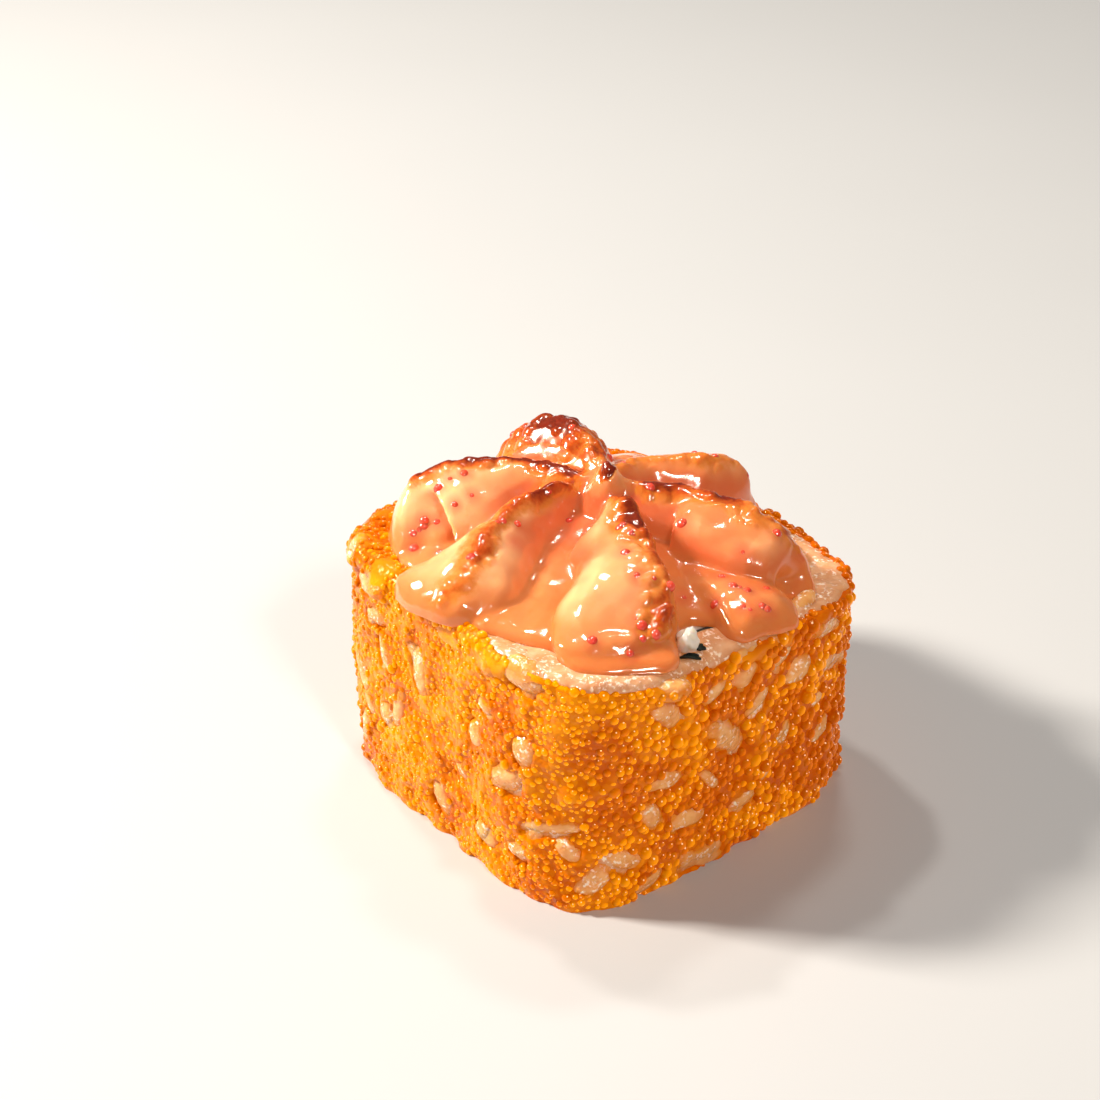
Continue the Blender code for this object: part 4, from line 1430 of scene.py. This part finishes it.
def redPaint():
    paint = Paint(
        "redRoe", Subsurface_Weight=0.8, Subsurface_Radius=(1.0, 0.15, 0.1), Subsurface_Scale=0.8 * mm,
        Coat_Weight=1.0, Coat_Roughness=0.03, Roughness=0.12)
    paint.colour(paint.mix(paint.noise(1.5 * mm), *redRoe["colours"]))
    return paint


def noriPaint():
    paint = Paint("toastedNori", Specular_IOR_Level=0.3)
    paint.colour(paint.mix(paint.noise(1.2 * mm), *bits["noriColours"]))
    paint.rough(0.35 + 0.3 * paint.noise(0.5 * mm))
    paint.bump(paint.noise(0.5 * mm, 4.0), 0.1 * mm, 0.8)
    return paint


def fillingPaint():
    paint = Paint(
        "creamyFilling", Subsurface_Weight=0.8, Subsurface_Radius=(1.0, 0.8, 0.6), Subsurface_Scale=1.5 * mm,
        Coat_Weight=0.5, Coat_Roughness=0.08)
    paint.colour(paint.mix(paint.noise(2.0 * mm), *bits["fillingColours"]))
    paint.rough(0.25 + 0.2 * paint.noise(1.0 * mm))
    paint.bump(paint.noise(0.8 * mm, 3.0), 0.15 * mm, 0.6)
    return paint


def stainOf(vertices):
    # 0 where rice lies bare, 1 where the glaze of the roe covers it
    stains = []
    for vertex in vertices:
        point = Vector(vertex)
        bared = smoothStep(bareAt(point), *rice["stainEdge"])
        angle = math.atan2(point.y, point.x)
        edge = sidePoint(angle, 1.0)
        inward = math.hypot(edge.x, edge.y) - math.hypot(point.x, point.y)
        onTop = smoothStep(point.z, topOf(point) - 2.0 * mm, topOf(point) - 1.0 * mm)
        beyond = smoothStep(inward, topReach(angle) - 0.2 * mm, topReach(angle) + 1.2 * mm)
        stains.append(float(bared * (1.0 - 0.88 * onTop * beyond)))
    return stains


makePiece("sauceRosette", sauceVertices, sauceFaces, saucePaint(), "sauce",
          {"brown": sauceBrowns, "blush": blushes, **sauceTones()}, ("sauce",))
makePiece("redRoe", redVertices, redFaces, redPaint(), "sauce")
makePiece("riceBed", bedVertices, bedFaces, ricePaint("riceBed"), "rice_and_roe",
          {"stain": stainOf(bedVertices)}, ("rice",))
makePiece("riceGrains", grainVertices, grainFaces, ricePaint("riceGrains"), "rice_and_roe",
          {"stain": stainOf(grainVertices)})

# the glaze takes the roe's tone, with its painted light on the left side
glazeTones = [toneAt(Vector(vertex)) for vertex in glazeVertices]
makePiece("roeGlaze", glazeVertices, glazeFaces, glazePaint(), "rice_and_roe",
          {"tone": glazeTones, "grain": nearGrain.ravel()})

# the gold half holds the paler eggs, most of them on the left side, whose tone carries painted light
middle = len(eggMatrices) // 2
order = sorted(range(len(eggMatrices)), key=lambda number: eggTones[number])
egg = eggShape(2)
for name, members in (("roeGold", order[:middle]), ("roeAmber", order[middle:])):
    vertices, faces, owners = joinCopies([egg], [eggMatrices[number] for number in members])
    tones = np.array([eggTones[number] for number in members])
    tones = (tones - tones.min()) / (tones.max() - tones.min())
    makePiece(name, vertices, faces, roePaint(name), "rice_and_roe",
              {"tone": tones[owners], **eggLights(egg, members)})

creamy = fillingPaint()
toasted = noriPaint()
makePiece("fillingBit", *fillingBit(), creamy, "filling")
makePiece("noriBits", *noriBits(), toasted, "nori")

for node, paint in (("nori", toasted), ("creamy_filling", creamy)):
    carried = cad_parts[node]
    carried.data.materials.clear()
    carried.data.materials.append(paint.material)


# Azimuths are measured in the photograph: 0 behind the object, 90 to its right.
lamps = {
    "key": {"azimuth": -82, "elevation": 38, "distance": 0.45, "size": (0.065, 0.08), "watts": 4.3,
            "colour": (1.0, 0.94, 0.86)},
    "back": {"azimuth": 10, "elevation": 64, "distance": 0.45, "size": (0.06, 0.04), "watts": 0.4,
             "colour": (1.0, 0.97, 0.93)},
    "corner": {"azimuth": -35, "elevation": 60, "distance": 0.45, "size": (0.032, 0.032), "watts": 0.6,
               "colour": (1.0, 0.97, 0.93)},
    "fill": {"azimuth": 155, "elevation": 42, "distance": 0.6, "size": (0.07, 0.07), "watts": 1.7,
             "colour": (1.0, 0.95, 0.9)},
}
lampTarget = Vector((0, 0, 0.015))


def hangLamp(name, lamp):
    turn = math.radians(lamp["azimuth"])
    lift = math.radians(lamp["elevation"])
    away = Matrix.Rotation(camera["turn"], 3, "Z") @ Vector((math.sin(turn), math.cos(turn), 0))
    place = (away * math.cos(lift) + Vector((0, 0, 1)) * math.sin(lift)) * lamp["distance"]
    light = bpy.data.lights.new(name, "AREA")
    light.energy = lamp["watts"]
    light.color = lamp["colour"]
    light.shape = "RECTANGLE"
    light.size, light.size_y = lamp["size"]
    hung = bpy.data.objects.new(name, light)
    hung.location = place + lampTarget
    hung.rotation_euler = (-place).to_track_quat("-Z", "Y").to_euler()
    bpy.context.scene.collection.objects.link(hung)


for name, lamp in lamps.items():
    hangLamp(name, lamp)
print("lamps hung", len(lamps))


studio = {
    "world": (1.0, 0.98, 0.95, 1.0),
    "strength": 0.12,
    "floorHalf": 2.0,
    "floorColours": ((0.46, 0.455, 0.445), (0.48, 0.475, 0.465)),
}

world = bpy.data.worlds.new("studio")
bpy.context.scene.world = world
world.use_nodes = True
background = world.node_tree.nodes["Background"]
background.inputs["Color"].default_value = studio["world"]
background.inputs["Strength"].default_value = studio["strength"]

bpy.context.scene.view_settings.view_transform = "Standard"


def layFloor():
    paint = Paint("floor", Roughness=0.6)
    paint.colour(paint.mix(paint.noise(60 * mm), *studio["floorColours"]))
    mesh = bpy.data.meshes.new("floor")
    half = studio["floorHalf"]
    corners = [(-half, -half, 0), (half, -half, 0), (half, half, 0), (-half, half, 0)]
    mesh.from_pydata(corners, [], [(0, 1, 2, 3)])
    mesh.materials.append(paint.material)
    laid = bpy.data.objects.new("floor", mesh)
    bpy.context.scene.collection.objects.link(laid)
    return laid


floor = layFloor()
print("floor laid")
